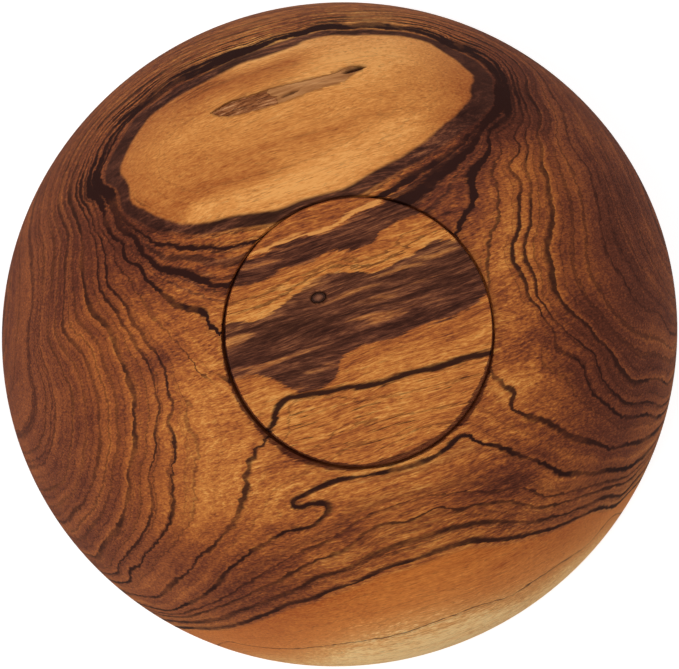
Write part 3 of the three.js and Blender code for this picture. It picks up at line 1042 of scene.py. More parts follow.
PALEST_TONE = 1.3
PALEST_EYE = 1.08  # the palest tone in the eye
HEART_STOPS = (
    (0.0, srgb(62, 30, 21)), (0.3, srgb(103, 51, 33)), (0.5, srgb(140, 74, 38)),
    (0.65, srgb(168, 94, 44)), (0.85, srgb(198, 124, 58)), (1.0, srgb(218, 150, 78)),
)
SAP_STOPS = (
    (0.0, srgb(122, 60, 28)), (0.3, srgb(166, 92, 42)), (0.6, srgb(200, 128, 63)),
    (0.8, srgb(220, 149, 79)), (0.9, srgb(238, 178, 106)), (1.0, srgb(252, 208, 140)),
)
CRESCENT_TINT = srgb(255, 232, 206)  # multiplies the sapwood opposite the eye
CRESCENT_TONES = (1.1, 0.8)  # between these it is tinted
RING_NOISE = (2.6, 4.0, 0.65)
# How strongly the noises vary the tone of heartwood and of sapwood
HEART_CHANGES = {"Rings": 0.5, "Streak": 0.65, "Cloud": 0.4, "Flame": 0.55, "Fibre": 1.0, "Grit": 0.6}
PALE_CHANGES = {"Rings": 0.15, "Streak": 0.4, "Cloud": 0.3, "Flame": 0.5, "Fibre": 0.9, "Grit": 0.6}
BODY_PORES, BODY_STROKES = 0.32, 0.2
BODY_DARKNESS = 0.46  # the lightness that the bands' dark wood starts from
UNDERSIDE_HEIGHTS = (6, 4)  # above the first of these nothing belongs to the foot's ring


def body_layers(wood):
    """The body's growth layers, moved by more or less of the grain's wander."""
    layers = {}
    for name, share in WANDER_SHARES.items():
        layers[name] = wood.moved(wood.layer, wood.grain["Wander"], share)
    layers["frayed"] = wood.moved(layers["calm"], wood.grain["Fray"], FRAYED_SHARE)
    return layers


def body_sides(wood):
    """Masks of the eye's side of the bowl and of the sapwood's side opposite it."""
    sap_side = ranged(wood.tree, wood.place[1], -SIDE_BLEND * MM, SIDE_BLEND * MM)
    return maths(wood.tree, "SUBTRACT", 1.0, sap_side), sap_side


def body_noises(wood, layers, side_grain):
    """The noises that vary the body's tone, those of the side grain faded where the wood is cut across."""
    noises = {"Rings": layer_noise(wood.tree, layers["restless"], *RING_NOISE)}
    for name in ("Cloud", "Grit"):
        noises[name] = wood.grain[name]
    for name in ("Streak", "Flame", "Fibre"):
        middle = centred(wood.tree, wood.grain[name])
        noises[name] = maths(wood.tree, "MULTIPLY_ADD", middle, side_grain, 0.5)
    return noises


def body_bands(wood, layers, eye_side, sap_side):
    tree = wood.tree
    streaks = ranged(tree, layer_noise(tree, layers["frayed"], *BAND_STREAKS), *BAND_STREAK_LEVELS)

    def streaked(band):
        return times(tree, wood.growth_band(layers["frayed"], *band), streaks)

    eye_bands = (wood.growth_band(layers["smooth"], *EYE_BAND), streaked(EYE_STREAKED_BAND))
    sap_bands = (streaked(SAP_STREAKED_BAND), streaked(HOOK_STREAKED_BAND))
    by_eye = times(tree, strongest(tree, eye_bands), eye_side)
    return maths(tree, "ADD", by_eye, times(tree, strongest(tree, sap_bands), sap_side))


def body_lines(wood, layers, eye_side, sap_side, tone):
    tree = wood.tree
    fade = ranged(tree, grain_noise(tree, wood.vector, *LINE_PATCHES), *FADE_LEVELS, *LINE_FADE)
    swell = ranged(tree, wood.grain["Cloud"], *SWELL_LEVELS, *LINE_SWELL)

    def uneven_line(layer, place, soft, sharp, strength):
        sides = (times(tree, swell, soft), times(tree, swell, sharp))
        return wood.growth_line(layer, place, *sides, times(tree, fade, strength))

    def masks(lines, layer):
        return strongest(tree, [uneven_line(layer, *sizes) for sizes in lines])

    hairs = ranged(tree, layer_noise(tree, layers["restless"], *HAIR_NOISE), *HAIR_LEVELS)
    hair_strength = ranged(tree, layers["restless"], *HAIR_LAYERS, *HAIR_STRENGTH)
    inner_along = ranged(tree, wood.place[0], *(place * MM for place in INNER_ALONG))
    inner_part = times(tree, ranged(tree, tone, *INNER_TONES), inner_along)
    return strongest(tree, (
        times(tree, masks(EYE_SIDE_LINES, layers["restless"]), eye_side),
        times(tree, masks(SAP_SIDE_LINES, layers["lively"]), sap_side),
        times(tree, masks(INNER_LINES, layers["lively"]), inner_part),
        masks(END_GRAIN_LINES, layers["lively"]),
        times(tree, hairs, hair_strength),
    ))


def body_wood(wood, layers, noises, sap_side, tone):
    """The colour between the lines: heartwood, and sapwood in the eye and opposite it."""
    tree = wood.tree
    heart_tone = varied(tree, tone, [(noises[name], weight) for name, weight in HEART_CHANGES.items()])
    pale_tone = varied(tree, tone, [(noises[name], weight) for name, weight in PALE_CHANGES.items()])
    palest = ranged(tree, sap_side, 0.0, 1.0, PALEST_EYE, PALEST_TONE)
    pale_tone = maths(tree, "MINIMUM", pale_tone, palest)
    sap = ramp(tree, times(tree, pale_tone, 1 / PALEST_TONE), SAP_STOPS)
    crescent = times(tree, sap_side, ranged(tree, tone, *CRESCENT_TONES))
    sap = blended(tree, crescent, sap, CRESCENT_TINT, "MULTIPLY")
    is_sap = ranged(tree, layers["smooth"], *SAP_LAYERS)
    return blended(tree, is_sap, ramp(tree, heart_tone, HEART_STOPS), sap)


def body_ring(wood, colour):
    """The groove round the foot with its painted shade, partly finish gathered there, and the painted shade
    beside the ring.
    """
    tree = wood.tree
    above, below = UNDERSIDE_HEIGHTS
    low = ranged(tree, wood.place[2], above * MM, below * MM)
    radius = wood.radius()
    # Painted shade outwards of the foot's ring
    painted_ring_shade = times(tree, low, wood.painted_ring_shade(radius, SEAT_RADIUS, OUTWARDS))
    colour = blended(tree, painted_ring_shade, colour, RING_SHADE_TINT, "MULTIPLY")
    # Painted shade in the groove, partly finish gathered there
    groove_middle = (SEAT_RADIUS + GROOVE_WIDTH / 2) * MM
    groove_edge = (SEAT_RADIUS + GROOVE_WIDTH) * MM
    groove = times(tree, low, ranged(tree, radius, groove_middle, groove_edge, 1.0, 0.0))
    return blended(tree, groove, colour, GROOVE_SHADE_AND_RESIDUE_TINT, "MULTIPLY")


def body_material(groups):
    material, tree, shader = new_material("olive_wood")
    wood = Wood(tree, groups)
    tone = attribute(tree, "tone")
    layers = body_layers(wood)
    eye_side, sap_side = body_sides(wood)
    side_grain = ranged(tree, attribute(tree, "ends"), *END_GRAIN_TURN, 1.0, END_GRAIN_SHARE)
    noises = body_noises(wood, layers, side_grain)
    colour = body_wood(wood, layers, noises, sap_side, tone)
    colour = blended(tree, times(tree, wood.grain["Pores"], BODY_PORES), colour, LINE_COLOUR)
    strokes = times(tree, wood.grain["Strokes"], times(tree, side_grain, BODY_STROKES))
    colour = blended(tree, strokes, colour, LINE_COLOUR)
    bands = body_bands(wood, layers, eye_side, sap_side)
    colour = blended(tree, bands, colour, wood.dark_wood(noises, BODY_DARKNESS))
    colour = blended(tree, body_lines(wood, layers, eye_side, sap_side, tone), colour, LINE_COLOUR)
    colour = body_ring(wood, colour)
    # Painted shade on the pocket's walls and at its edge
    colour = blended(tree, attribute(tree, "hollow_shade"), colour, HOLLOW_SHADE_COLOUR)
    wood.satin(shader, colour)
    return material


# The foot's bands and lines, as the body's are written
FOOT_BANDS = (
    (FIRST_BAND_TOP, FIRST_BAND_END, 0.8, 0.97),
    (BROAD_BAND_TOP, BROAD_BAND_END, 0.9, 0.97),
)
FOOT_FORK_LINE = (FOOT_FORK, 2.2, 1.4, 0.98)
FOOT_THIN_LINES = (
    (FOOT_FORK + 0.5, 0.6, 0.4, 0.4),
    (FOOT_FORK + 1.2, 0.6, 0.4, 0.45),
    (FOOT_FORK + 1.7, 0.6, 0.4, 0.4),
    (BROAD_BAND_TOP - 0.5, 0.7, 0.4, 0.45),
    (BROAD_BAND_TOP - 0.22, 0.9, 0.4, 0.6),
)
PALE_STRIPE_LINE = (FIRST_BAND_TOP - 0.1, 1.6, 0.6, 0.8)
PALE_STRIPE = srgb(224, 154, 82)
FOOT_LAYERS = (-1.5, 7.0)  # the layers over which the tones below are spread
FOOT_TONES = (
    (0.0, 0.55), (0.15, 0.62), (0.30, 0.66), (0.42, 0.88), (0.52, 0.62), (0.62, 0.82), (0.8, 0.72),
    (1.0, 0.66),
)
FOOT_CHANGES = {"Streak": 0.8, "Cloud": 0.3, "Flame": 0.55, "Fibre": 1.1, "Grit": 0.45}
FOOT_FRAY_SHARE = 0.6  # of the grain's fraying, beside all of its wander
FIRM_SHARE = 0.45  # how much of both moves the forked line
BAND_FLAMES, BAND_FLAME_STRENGTH = (0.53, 0.66), (1.0, 0.55)  # where lighter flames break the bands
FOOT_PORES = 0.35
STROKE_LAYERS, FOOT_STROKES = (3.9, 4.6), (0.35, 0.75)
FOOT_DARKNESS = 0.58
FOOT_EDGE_SHADE_AND_RESIDUE = (0.6, 0.2)  # how far in from the foot's edge its painted shade, partly finish gathered there, starts, and is full


def foot_wood(wood, layer):
    """The colour between the foot's bands and lines."""
    tree, grain = wood.tree, wood.grain
    spread = ranged(tree, layer, *FOOT_LAYERS, kind="LINEAR")
    tone = ramp(tree, spread, [(place, (level, level, level, 1.0)) for place, level in FOOT_TONES])
    tone = varied(tree, tone, [(grain[name], weight) for name, weight in FOOT_CHANGES.items()])
    colour = ramp(tree, tone, HEART_STOPS)
    colour = blended(tree, times(tree, grain["Pores"], FOOT_PORES), colour, LINE_COLOUR)
    strokes = times(tree, grain["Strokes"], ranged(tree, layer, *STROKE_LAYERS, *FOOT_STROKES))
    colour = blended(tree, strokes, colour, LINE_COLOUR)
    return blended(tree, wood.growth_line(layer, *PALE_STRIPE_LINE), colour, PALE_STRIPE)


def foot_material(groups):
    material, tree, shader = new_material("olive_wood_foot")
    wood = Wood(tree, groups)
    loose = maths(tree, "MULTIPLY_ADD", wood.grain["Fray"], FOOT_FRAY_SHARE, wood.grain["Wander"])
    layer = wood.moved(wood.layer, loose, 1.0)
    firm = wood.moved(wood.layer, loose, FIRM_SHARE)
    colour = foot_wood(wood, layer)
    bands = strongest(tree, [wood.growth_band(layer, *band) for band in FOOT_BANDS])
    bands = times(tree, bands, ranged(tree, wood.grain["Flame"], *BAND_FLAMES, *BAND_FLAME_STRENGTH))
    colour = blended(tree, bands, colour, wood.dark_wood(wood.grain, FOOT_DARKNESS))
    lines = [wood.growth_line(firm, *FOOT_FORK_LINE)]
    lines += [wood.growth_line(layer, *thin_line) for thin_line in FOOT_THIN_LINES]
    colour = blended(tree, strongest(tree, lines), colour, LINE_COLOUR)
    radius = wood.radius()
    # Painted shade inwards of the foot's ring
    colour = blended(tree, wood.painted_ring_shade(radius, FOOT_RADIUS, INWARDS), colour, RING_SHADE_TINT, "MULTIPLY")
    # Painted shade on the foot's rounded edge, partly finish gathered there
    edge_shade_and_residue = ranged(tree, radius, *((FOOT_RADIUS - inset) * MM for inset in FOOT_EDGE_SHADE_AND_RESIDUE))
    colour = blended(tree, edge_shade_and_residue, colour, GROOVE_SHADE_AND_RESIDUE_TINT, "MULTIPLY")
    # Painted shade on the walls of the knot's hole
    colour = blended(tree, attribute(tree, "hollow_shade"), colour, HOLLOW_SHADE_COLOUR)
    wood.satin(shader, colour)
    return material


BARK_STRANDS = (8, 0.7, 4.0, 0.65, 0.3)
BARK_STOPS = (
    (0.34, srgb(76, 38, 20)), (0.44, srgb(122, 68, 36)), (0.55, srgb(158, 100, 60)),
    (0.68, srgb(202, 146, 100)),
)
BARK_PORES = 0.6
NOISE_SPAN = (0.3, 0.7)  # where nearly all of a noise lies
BARK_ROUGHNESS, BARK_SPECULAR, BARK_BUMP = (0.7, 0.92), 0.2, (0.4, 0.8)


def bark_material(groups):
    material, tree, shader = new_material("old_bark")
    vector = object_vector(tree)
    grain = placed(tree, groups["grain"], {"Vector": vector})
    strands = grain_noise(tree, vector, *BARK_STRANDS)
    pores = times(tree, grain["Pores"], BARK_PORES)
    colour = blended(tree, pores, ramp(tree, strands, BARK_STOPS), LINE_COLOUR)
    roughness = ranged(tree, strands, *NOISE_SPAN, *BARK_ROUGHNESS)
    give_surface(tree, shader, colour, roughness, BARK_SPECULAR, strands, BARK_BUMP)
    return material


FILLER_STOPS = (
    (0.3, srgb(128, 76, 40)), (0.45, srgb(162, 106, 60)), (0.58, srgb(184, 126, 76)),
    (0.72, srgb(204, 150, 98)),
)
BROWN_FLECK = srgb(110, 66, 42)
FILLER_PORES = 0.35
FILLER_ROUGHNESS, FILLER_SPECULAR, FILLER_BUMP = (0.6, 0.8), 0.25, (0.08, 0.6)


def filler_material(groups):
    material, tree, shader = new_material("wood_filler")
    grain = placed(tree, groups["grain"], {"Vector": object_vector(tree)})
    pores = times(tree, grain["Pores"], FILLER_PORES)
    colour = blended(tree, pores, ramp(tree, grain["Streak"], FILLER_STOPS), BROWN_FLECK)
    # Painted shade in the filler's hollows
    colour = blended(tree, attribute(tree, "hollow_shade"), colour, HOLLOW_SHADE_COLOUR)
    roughness = ranged(tree, grain["Fibre"], *NOISE_SPAN, *FILLER_ROUGHNESS)
    give_surface(tree, shader, colour, roughness, FILLER_SPECULAR, grain["Height"], FILLER_BUMP)
    return material


knot_centre = (knot_low + knot_high) / 2
knot_half = (knot_high - knot_low) / 2
KNOT_NOISE = (0.9, 0.9, 3.0, 0.6)
KNOT_UNEVENNESS = 0.35  # how far the noise moves the rings, as a share of the knot
KNOT_RING_PACE = 22.0
KNOT_STOPS = (
    (0.0, srgb(136, 88, 62)), (0.35, srgb(120, 74, 52)), (0.55, srgb(92, 54, 38)),
    (0.75, srgb(48, 26, 20)), (1.0, srgb(36, 19, 15)),
)
KNOT_RING_LEVELS, KNOT_RING_STRENGTH = (-0.2, 1.0), (0.0, 0.2)
KNOT_ROUGHNESS, KNOT_SPECULAR, KNOT_BUMP = (0.4, 0.65), 0.3, (0.05, 0.6)


def knot_material():
    material, tree, shader = new_material("knot_wood")
    vector = object_vector(tree)
    local = add(tree, "ShaderNodeMapping", {
        "Vector": vector,
        "Location": (-knot_centre[0] / knot_half[0], -knot_centre[1] / knot_half[1], 0.0),
        "Scale": (1 / (knot_half[0] * MM), 1 / (knot_half[1] * MM), 0.0),
    }).outputs[0]
    uneven = grain_noise(tree, vector, *KNOT_NOISE)
    reach = varied(tree, length(tree, local), ((uneven, KNOT_UNEVENNESS),))
    rings = maths(tree, "SINE", times(tree, reach, KNOT_RING_PACE))
    ringed = ranged(tree, rings, *KNOT_RING_LEVELS, *KNOT_RING_STRENGTH)
    colour = blended(tree, ringed, ramp(tree, reach, KNOT_STOPS), BROWN_FLECK)
    roughness = ranged(tree, uneven, *NOISE_SPAN, *KNOT_ROUGHNESS)
    give_surface(tree, shader, colour, roughness, KNOT_SPECULAR, rings, KNOT_BUMP)
    return material


# The bark pocket: a leaf outline cut square into the wall at the eye
LEAF_UPPER_PIXELS = (
    (211, 113), (221, 106), (230, 101), (245, 97), (260, 92), (272, 88), (285, 85), (300, 82),
    (320, 77), (335, 73), (345, 68), (352, 66), (360, 66), (366, 67),
)
LEAF_LOWER_PIXELS = (
    (211, 113), (219, 116), (230, 116), (245, 113), (260, 109), (272, 105), (285, 101), (300, 95),
    (320, 88), (335, 84), (344, 81), (350, 76), (358, 71), (366, 67),
)
LEAF_WAVES = ((0.1, 1.9, 0.0), (0.07, 4.3, 1.0))  # raggedness: height, pace and start of each wave
LEAST_HALF_WIDTH = 0.03
SEARCH_DEPTHS = (-6.0, 12.0)  # between these the wall's surface is looked for
SEAM_REACH = 6.0  # how far from the seam its raggedness still moves the rows
SEAM_SLANT = 1.6
SEAM_WAVES = ((0.7, 5, 0.6), (0.4, 11, 0.0))
LEAF_SHARP_ANGLE = 60
CUTTER_ROWS, CUTTER_COLUMNS, CUTTER_START = 90, 9, -4.0

POCKET_RADIUS = abs(POCKET_ACROSS)
SLOPE_ENDS = np.array((POCKET_RADIUS - 0.5, POCKET_RADIUS + 0.5)) / SHRINKAGE
pocket_spot = np.array((0, POCKET_ACROSS, wall_height(POCKET_RADIUS / SHRINKAGE)))
slope_rise = np.diff(wall_height(SLOPE_ENDS))[0]
POCKET_STEEP = math.atan(slope_rise / np.diff(SLOPE_ENDS)[0])
POCKET_CROSS = np.array((0, math.cos(POCKET_STEEP), -math.sin(POCKET_STEEP)))
POCKET_IN = np.array((0, math.sin(POCKET_STEEP), math.cos(POCKET_STEEP)))


def in_pocket(points):
    """Points as places along and across the pocket."""
    return points[:, 0], (points - pocket_spot) @ POCKET_CROSS


UPPER_ALONG, UPPER_ACROSS = in_pocket(on_wall(LEAF_UPPER_PIXELS))
LOWER_ALONG, LOWER_ACROSS = in_pocket(on_wall(LEAF_LOWER_PIXELS))
LEAF_TIPS = (UPPER_ALONG[0], UPPER_ALONG[-1])


def waves(place, table):
    return sum(height * np.sin(pace * place + start) for height, pace, start in table)


def leaf_edges(along, grow=0.0):
    """The leaf's middle and half its width at places along it."""
    upper = np.interp(along, UPPER_ALONG, UPPER_ACROSS)
    lower = np.interp(along, LOWER_ALONG, LOWER_ACROSS)
    half = (lower - upper) / 2 + waves(along, LEAF_WAVES) + grow
    return (upper + lower) / 2, np.maximum(half, LEAST_HALF_WIDTH)


def pocket_point(along, across, depth):
    return pocket_spot + np.array((1, 0, 0)) * along + POCKET_CROSS * across + POCKET_IN * depth


def surface_depth(along, across):
    """How far into the pocket's direction the outside of the wall lies."""
    low, high = SEARCH_DEPTHS
    for _ in range(HALVINGS):
        middle = (low + high) / 2
        point = pocket_point(along, across, middle)
        if point[2] < wall_height(math.hypot(point[0], point[1] / SHRINKAGE)):
            low = middle
        else:
            high = middle
    return low


def ragged_seam(along, share):
    """The seam between bark and filler isn't straight: both follow the same ragged line."""
    fade = max(0.0, 1 - abs(along - SEAM_ALONG) / SEAM_REACH)
    return fade * (SEAM_SLANT * share + waves(share, SEAM_WAVES))


def leaf_faces(rows, columns):
    """The faces of a closed solid whose top and bottom are each a grid of points."""
    def corner(layer, row, column):
        return layer * rows * columns + row * columns + column

    faces = []
    for layer in (0, 1):
        for row in range(rows - 1):
            for column in range(columns - 1):
                faces.append((corner(layer, row, column), corner(layer, row + 1, column),
                              corner(layer, row + 1, column + 1), corner(layer, row, column + 1)))
    for row in range(rows - 1):
        for column in (0, columns - 1):
            faces.append((corner(0, row, column), corner(0, row + 1, column),
                          corner(1, row + 1, column), corner(1, row, column)))
    for column in range(columns - 1):
        for row in (0, rows - 1):
            faces.append((corner(0, row, column), corner(0, row, column + 1),
                          corner(1, row, column + 1), corner(1, row, column)))
    return faces


def leaf_solid(name, start, end, rows, columns, grow, top, bottom):
    """A closed solid over a stretch of the leaf's outline, between a top and a bottom depth."""
    points = []
    for depth_of in (top, bottom):
        for station in np.linspace(start, end, rows):
            for share in np.linspace(-1, 1, columns):
                along = station + ragged_seam(station, share)
                middle, half = leaf_edges(along, grow)
                across = middle + half * share
                points.append(tuple(pocket_point(along, across, depth_of(along, across, share)) * MM))
    mesh = bpy.data.meshes.new(name)
    mesh.from_pydata(points, [], leaf_faces(rows, columns))
    return close_up(linked(name, mesh), LEAF_SHARP_ANGLE)


def at_depth(depth):
    return lambda along, across, share: depth


def pocket_cutter():
    return leaf_solid("pocket_cutter", LEAF_TIPS[0] - INLAY_GAP, LEAF_TIPS[1] + INLAY_GAP, CUTTER_ROWS,
                      CUTTER_COLUMNS, SEAM_GAP, at_depth(CUTTER_START), at_depth(POCKET_DEPTH + INLAY_GAP))


SHADE_SIDE, SHADE_END, SHADE_BELOW = 0.15, 0.5, 1.5  # how far past the pocket its painted shade reaches
EDGE_DEPTH, POCKET_EDGE_SHADE = 0.15, 0.45  # the pocket's edge, and how dark its painted shade is


def pocket_shade(points):
    """Painted shade on each point of the body from the pocket: its walls all through, its edge by half."""
    along, across = in_pocket(points)
    middle, half = leaf_edges(along, SEAM_GAP)
    depth = depth_below_outside(points)
    beside = abs(across - middle) < half + SHADE_SIDE
    within = (along > LEAF_TIPS[0] - SHADE_END) & (along < LEAF_TIPS[1] + SHADE_END)
    inside = beside & within & (depth < POCKET_DEPTH + SHADE_BELOW)
    return np.where(inside, np.where(depth > EDGE_DEPTH, 1.0, POCKET_EDGE_SHADE), 0.0)


def ripple(along, across, height, size_along, size_across, seed):
    return height * noise.noise(Vector((along / size_along, across / size_across, seed)))


def edge_share(share, width):
    """0 in the middle of the leaf, rising to 1 over a share of its half width at its edge."""
    return max(0.0, 1 - (1 - abs(share)) / width)


TIP_GAP = 0.1  # between the fillings' tips and the leaf's
BARK_ROWS, BARK_COLUMNS = 120, 25
BARK_SUNK, BARK_EDGE_SUNK, BARK_EDGE = 0.35, 0.25, 0.2
# Height, size along and across the grain, and seed of each ripple in the bark
BARK_RIPPLES = ((0.36, 3.5, 0.55, 1.7), (0.16, 1.1, 0.3, 8.1))


def bark_piece():
    def top(along, across, share):
        sunk = BARK_SUNK + BARK_EDGE_SUNK * edge_share(share, BARK_EDGE)
        sunk += sum(ripple(along, across, *sizes) for sizes in BARK_RIPPLES)
        return surface_depth(along, across) + sunk

    return leaf_solid("bark_inclusion", LEAF_TIPS[0] + TIP_GAP, SEAM_ALONG - SEAM_GAP / 2, BARK_ROWS,
                      BARK_COLUMNS, 0.0, top, at_depth(POCKET_DEPTH))


# Hollows in the filler: pixel of the middle, half length and half width, depth, how dark its painted shade
# is
HOLE = ((354, 69), 4.2, 1.1, 1.6, 1.0)
SLOT = ((290, 93), 3.4, 0.6, 0.8, 0.7)
HOLLOW_LEAN = 0.12
HOLLOW_EDGE, HOLLOW_SOFTNESS = 1.15, 0.4
FILLER_ROWS, FILLER_COLUMNS = 170, 21
FILLER_SUNK, FILLER_EDGE_SUNK, FILLER_EDGE = 0.08, 0.1, 0.15
FILLER_RIPPLE = (0.05, 5.0, 0.5, 3.3)


def hollow_at(along, across, pixel, half_length, half_width):
    """How far a place lies in an oval hollow of the filler, from 0 outside it to 1."""
    centre_along, centre_across = in_pocket(on_wall([pixel]))
    ahead = along - centre_along[0]
    aside = across + HOLLOW_LEAN * ahead - centre_across[0]
    reach = np.hypot(ahead / half_length, aside / half_width)
    return np.clip((HOLLOW_EDGE - reach) / HOLLOW_SOFTNESS, 0, 1)


# Painted shade in the filler's hollows
def filler_hollow_shade(points):
    along, across = in_pocket(points)
    hollows = [dark * hollow_at(along, across, *oval) for *oval, _, dark in (HOLE, SLOT)]
    return np.maximum(*hollows)


def filler_piece():
    def top(along, across, share):
        sunk = FILLER_SUNK + FILLER_EDGE_SUNK * edge_share(share, FILLER_EDGE)
        sunk += ripple(along, across, *FILLER_RIPPLE)
        for *oval, depth, _ in (HOLE, SLOT):
            sunk += depth * hollow_at(along, across, *oval)
        return surface_depth(along, across) + sunk

    return leaf_solid("pocket_filler", SEAM_ALONG + SEAM_GAP / 2, LEAF_TIPS[1] - TIP_GAP, FILLER_ROWS,
                      FILLER_COLUMNS, 0.0, top, at_depth(POCKET_DEPTH))


# The pin knot: a tapered oval plug with a ringed, slightly hollow face
KNOT_SIDES = 64
KNOT_TAPER = 0.5
KNOT_GAP = 0.3
KNOT_HOLE_GAP = 0.6 * KNOT_GAP  # what is seen of it round the face
KNOT_NARROW = 1 - KNOT_TAPER / knot_half[1]
KNOT_FACE = knot_low[2]
# The face's rings: share of the knot's width, and how far in from its outermost ring
KNOT_FACE_RINGS = (
    (0.04, 0.22), (0.2, 0.2), (0.36, 0.1), (0.5, 0.14), (0.66, 0.04), (0.8, 0.07), (0.92, 0.0),
    (0.985, 0.03), (1.0, 0.12),
)
HOLE_START, HOLE_STRAIGHT = -1.0, 0.2  # the hole is cut from the first height, straight to the second
CAP_SHARE = 0.5  # the ring inside each flat end
HOLE_SHADE_SHARE = 1.1  # of the hole's half width, as far as its painted shade reaches


def oval_plug(name, grow, rings):
    """A closed plug through oval rings, each a share of the knot's width and a height."""
    angles = np.linspace(0, 2 * math.pi, KNOT_SIDES, endpoint=False)
    points = []
    for share, height in rings:
        width = (knot_half[:2] + grow) * share
        for angle in angles:
            along = knot_centre[0] + width[0] * math.cos(angle)
            across = knot_centre[1] + width[1] * math.sin(angle)
            points.append((along * MM, across * MM, height * MM))
    faces = []
    for ring in range(len(rings) - 1):
        for step in range(KNOT_SIDES):
            after = (step + 1) % KNOT_SIDES
            faces.append((ring * KNOT_SIDES + step, ring * KNOT_SIDES + after,
                          (ring + 1) * KNOT_SIDES + after, (ring + 1) * KNOT_SIDES + step))
    faces.append(tuple(range(KNOT_SIDES)))
    faces.append(tuple((len(rings) - 1) * KNOT_SIDES + step for step in range(KNOT_SIDES)))
    mesh = bpy.data.meshes.new(name)
    mesh.from_pydata(points, [], faces)
    return close_up(linked(name, mesh))


def knot_piece():
    face = [(share, KNOT_FACE + depth) for share, depth in KNOT_FACE_RINGS]
    back = [(KNOT_NARROW, knot_high[2]), (KNOT_NARROW * CAP_SHARE, knot_high[2])]
    return oval_plug("pin_knot", 0.0, face + back)


def knot_cutter():
    end = knot_high[2] + KNOT_GAP
    mouth = [(CAP_SHARE, HOLE_START), (1.0, HOLE_START), (1.0, HOLE_STRAIGHT)]
    back = [(KNOT_NARROW, end), (KNOT_NARROW * CAP_SHARE, end)]
    return oval_plug("knot_cutter", KNOT_HOLE_GAP, mouth + back)


def knot_hole_shade(points):
    """Painted shade: 1 on the walls of the knot's hole in the foot, 0 elsewhere."""
    away = (points - knot_centre)[:, :2] / (knot_half + KNOT_GAP)[:2]
    beside = np.hypot(away[:, 0], away[:, 1]) < HOLE_SHADE_SHARE
    return np.where(beside & (points[:, 2] < knot_high[2] + 2 * KNOT_GAP), 1.0, 0.0)


# The pieces
def body_piece(groups, lathe):
    body = turned_piece("bowl_body_turned", body_profile(), lathe, BODY_STEPS_AROUND, body_material(groups))
    cut(body, pocket_cutter())
    points = mesh_points(body.data)
    write_attribute(body.data, "hollow_shade", pocket_shade(points))
    write_attribute(body.data, "painted_ring_shade", ring_shade_reach(points, OUTWARDS))
    grow_layers(body, field_through(LAYER_PIXELS, on_wall, LAYER_ROUNDING), LAYERS_PER_MM)
    tone_field = field_through(TONE_PIXELS, on_wall, TONE_ROUNDING)
    write_attribute(body.data, "tone", tone_field(points)[0])
    return body


def foot_piece(groups, lathe):
    foot = turned_piece("foot_disc_turned", foot_profile(), lathe, FOOT_STEPS_AROUND, foot_material(groups))
    cut(foot, knot_cutter())
    points = mesh_points(foot.data)
    write_attribute(foot.data, "hollow_shade", knot_hole_shade(points))
    write_attribute(foot.data, "painted_ring_shade", ring_shade_reach(points, INWARDS))
    grow_layers(foot, field_through(FOOT_LAYER_PIXELS, on_foot, LAYER_ROUNDING), 0)
    return foot


def build_bowl():
    groups = {
        "line": growth_line_group(), "band": growth_band_group(),
        "grain": olive_grain_group(), "dark": dark_wood_group(),
    }
    lathe = lathe_tree()
    body = body_piece(groups, lathe)
    foot = foot_piece(groups, lathe)
    bark = bark_piece()
    bark.data.materials.append(bark_material(groups))
    filler = filler_piece()
    filler.data.materials.append(filler_material(groups))
    write_attribute(filler.data, "hollow_shade", filler_hollow_shade(mesh_points(filler.data)))
    knot = knot_piece()
    knot.data.materials.append(knot_material())
    for piece, node, slot in (
        (body, "bowl_body", "olive_wood"),
        (foot, "foot_disc", "olive_wood_foot"),
        (bark, "bark_inclusion", "old_bark"),
        (filler, "pocket_filler", "wood_filler"),
        (knot, "pin_knot", "knot_wood"),
    ):
        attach(piece, "root")
        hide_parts(node)


# The stage, in metres
SHEET_HALF = 4.0
SHEET_GREY = 0.5  # how much light the floor and the backdrop send back
FLOOR_GLOW, BACKDROP_GLOW = 0.74, 0.72
BACKDROP_HEIGHT = BOWL_HEIGHT * MM + 0.0005
AMBIENT = 0.24
MIRRORED_WHITE = 0.12  # how much of the white the satin wood mirrors


def in_photo(right, down, up):
    """A place from the bowl's foot, along the photograph's right and down and the bowl's up."""
    return tuple(photo_right * right + photo_down * down + np.array((0, 0, up)))


# Each lamp's place, size and power in watts
LAMPS = {
    "key_below": (in_photo(-0.8, 0.35, -0.95), 0.9, 10.0),
    "fill_below": (in_photo(0.5, -0.7, -1.0), 1.0, 9.0),
    "key_above": ((-0.7, -0.8, 1.2), 0.8, 8.5),
    "fill_above": ((0.9, 0.5, 1.0), 1.0, 5.5),
}


def one_sided(name, glow):
    """A pale surface that shows from its front only and keeps the bowl's shadow."""
    material = bpy.data.materials.new(name)
    material.use_nodes = True
    tree = material.node_tree
    tree.nodes.clear()
    output = tree.nodes.new("ShaderNodeOutputMaterial")
    light = add(tree, "ShaderNodeEmission", {"Color": (1, 1, 1, 1), "Strength": glow})
    matt = add(tree, "ShaderNodeBsdfDiffuse", {"Color": (SHEET_GREY, SHEET_GREY, SHEET_GREY, 1)})
    both = add(tree, "ShaderNodeAddShader", {0: light.outputs[0], 1: matt.outputs[0]})
    clear = tree.nodes.new("ShaderNodeBsdfTransparent")
    behind = tree.nodes.new("ShaderNodeNewGeometry").outputs["Backfacing"]
    mix = add(tree, "ShaderNodeMixShader", {0: behind, 1: both.outputs[0], 2: clear.outputs[0]})
    feed(tree, output.inputs[0], mix.outputs[0])
    return material


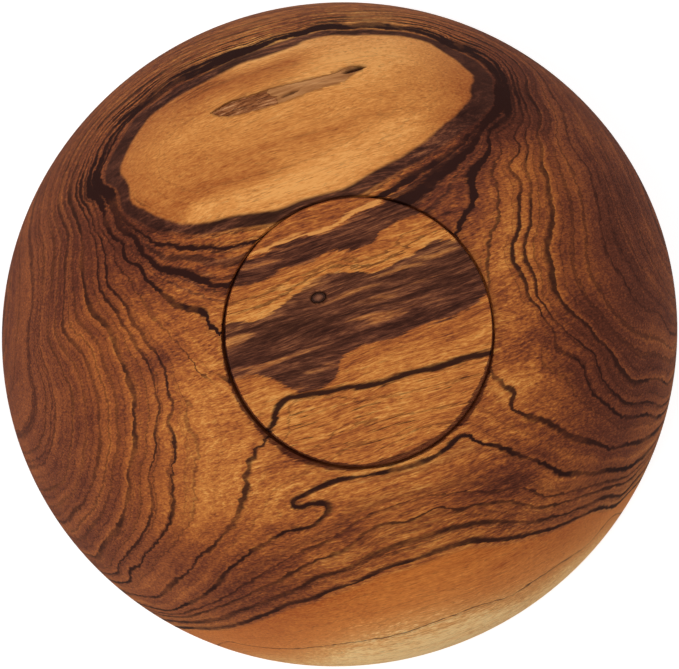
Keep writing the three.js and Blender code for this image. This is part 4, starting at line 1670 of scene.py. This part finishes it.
def pale_sheet(name, height, upwards, material, lights):
    """A level sheet that faces up or down; only one that lights the bowl is seen by diffuse rays."""
    corners = [(x * SHEET_HALF, y * SHEET_HALF) for x, y in ((-1, -1), (1, -1), (1, 1), (-1, 1))]
    if not upwards:
        corners.reverse()
    mesh = bpy.data.meshes.new(name)
    mesh.from_pydata([(x, y, height) for x, y in corners], [], [(0, 1, 2, 3)])
    mesh.materials.append(material)
    sheet = linked(name, mesh)
    for ray in ("glossy", "transmission", "volume_scatter", "shadow"):
        setattr(sheet, "visible_" + ray, False)
    sheet.visible_diffuse = lights


def area_lamp(name, place, size, power):
    """A round lamp that faces the bowl's middle and isn't mirrored in the wood."""
    data = bpy.data.lights.new(name, "AREA")
    data.shape = "DISK"
    data.size = size
    data.energy = power
    lamp = bpy.data.objects.new(name, data)
    lamp.visible_glossy = False
    scene.collection.objects.link(lamp)
    lamp.location = place
    lamp.rotation_mode = "QUATERNION"
    middle = Vector((0, 0, BOWL_HEIGHT * MM / 2))
    lamp.rotation_quaternion = (middle - Vector(place)).to_track_quat("-Z", "Y")


def make_world():
    """White where the camera sees it, dimmer as light on the bowl and in its reflections."""
    world = bpy.data.worlds.new("white_studio")
    scene.world = world
    world.use_nodes = True
    tree = world.node_tree
    tree.nodes.clear()
    output = tree.nodes.new("ShaderNodeOutputWorld")
    path = tree.nodes.new("ShaderNodeLightPath").outputs
    seen = strongest(tree, (path["Is Camera Ray"], path["Is Transmission Ray"]))
    strength = ranged(tree, seen, 0.0, 1.0, AMBIENT, 1.0, kind="LINEAR")
    strength = ranged(tree, path["Is Glossy Ray"], 0.0, 1.0, strength, MIRRORED_WHITE, kind="LINEAR")
    background = add(tree, "ShaderNodeBackground", {"Color": (1, 1, 1, 1), "Strength": strength})
    feed(tree, output.inputs[0], background.outputs[0])


def build_stage():
    pale_sheet("floor", 0.0, True, one_sided("pale_floor", FLOOR_GLOW), lights=False)
    pale_sheet("backdrop", BACKDROP_HEIGHT, False, one_sided("pale_backdrop", BACKDROP_GLOW), lights=True)
    for name, (place, size, power) in LAMPS.items():
        area_lamp(name, place, size, power)
    make_world()


make_camera()
build_bowl()
build_stage()
bpy.context.view_layer.update()
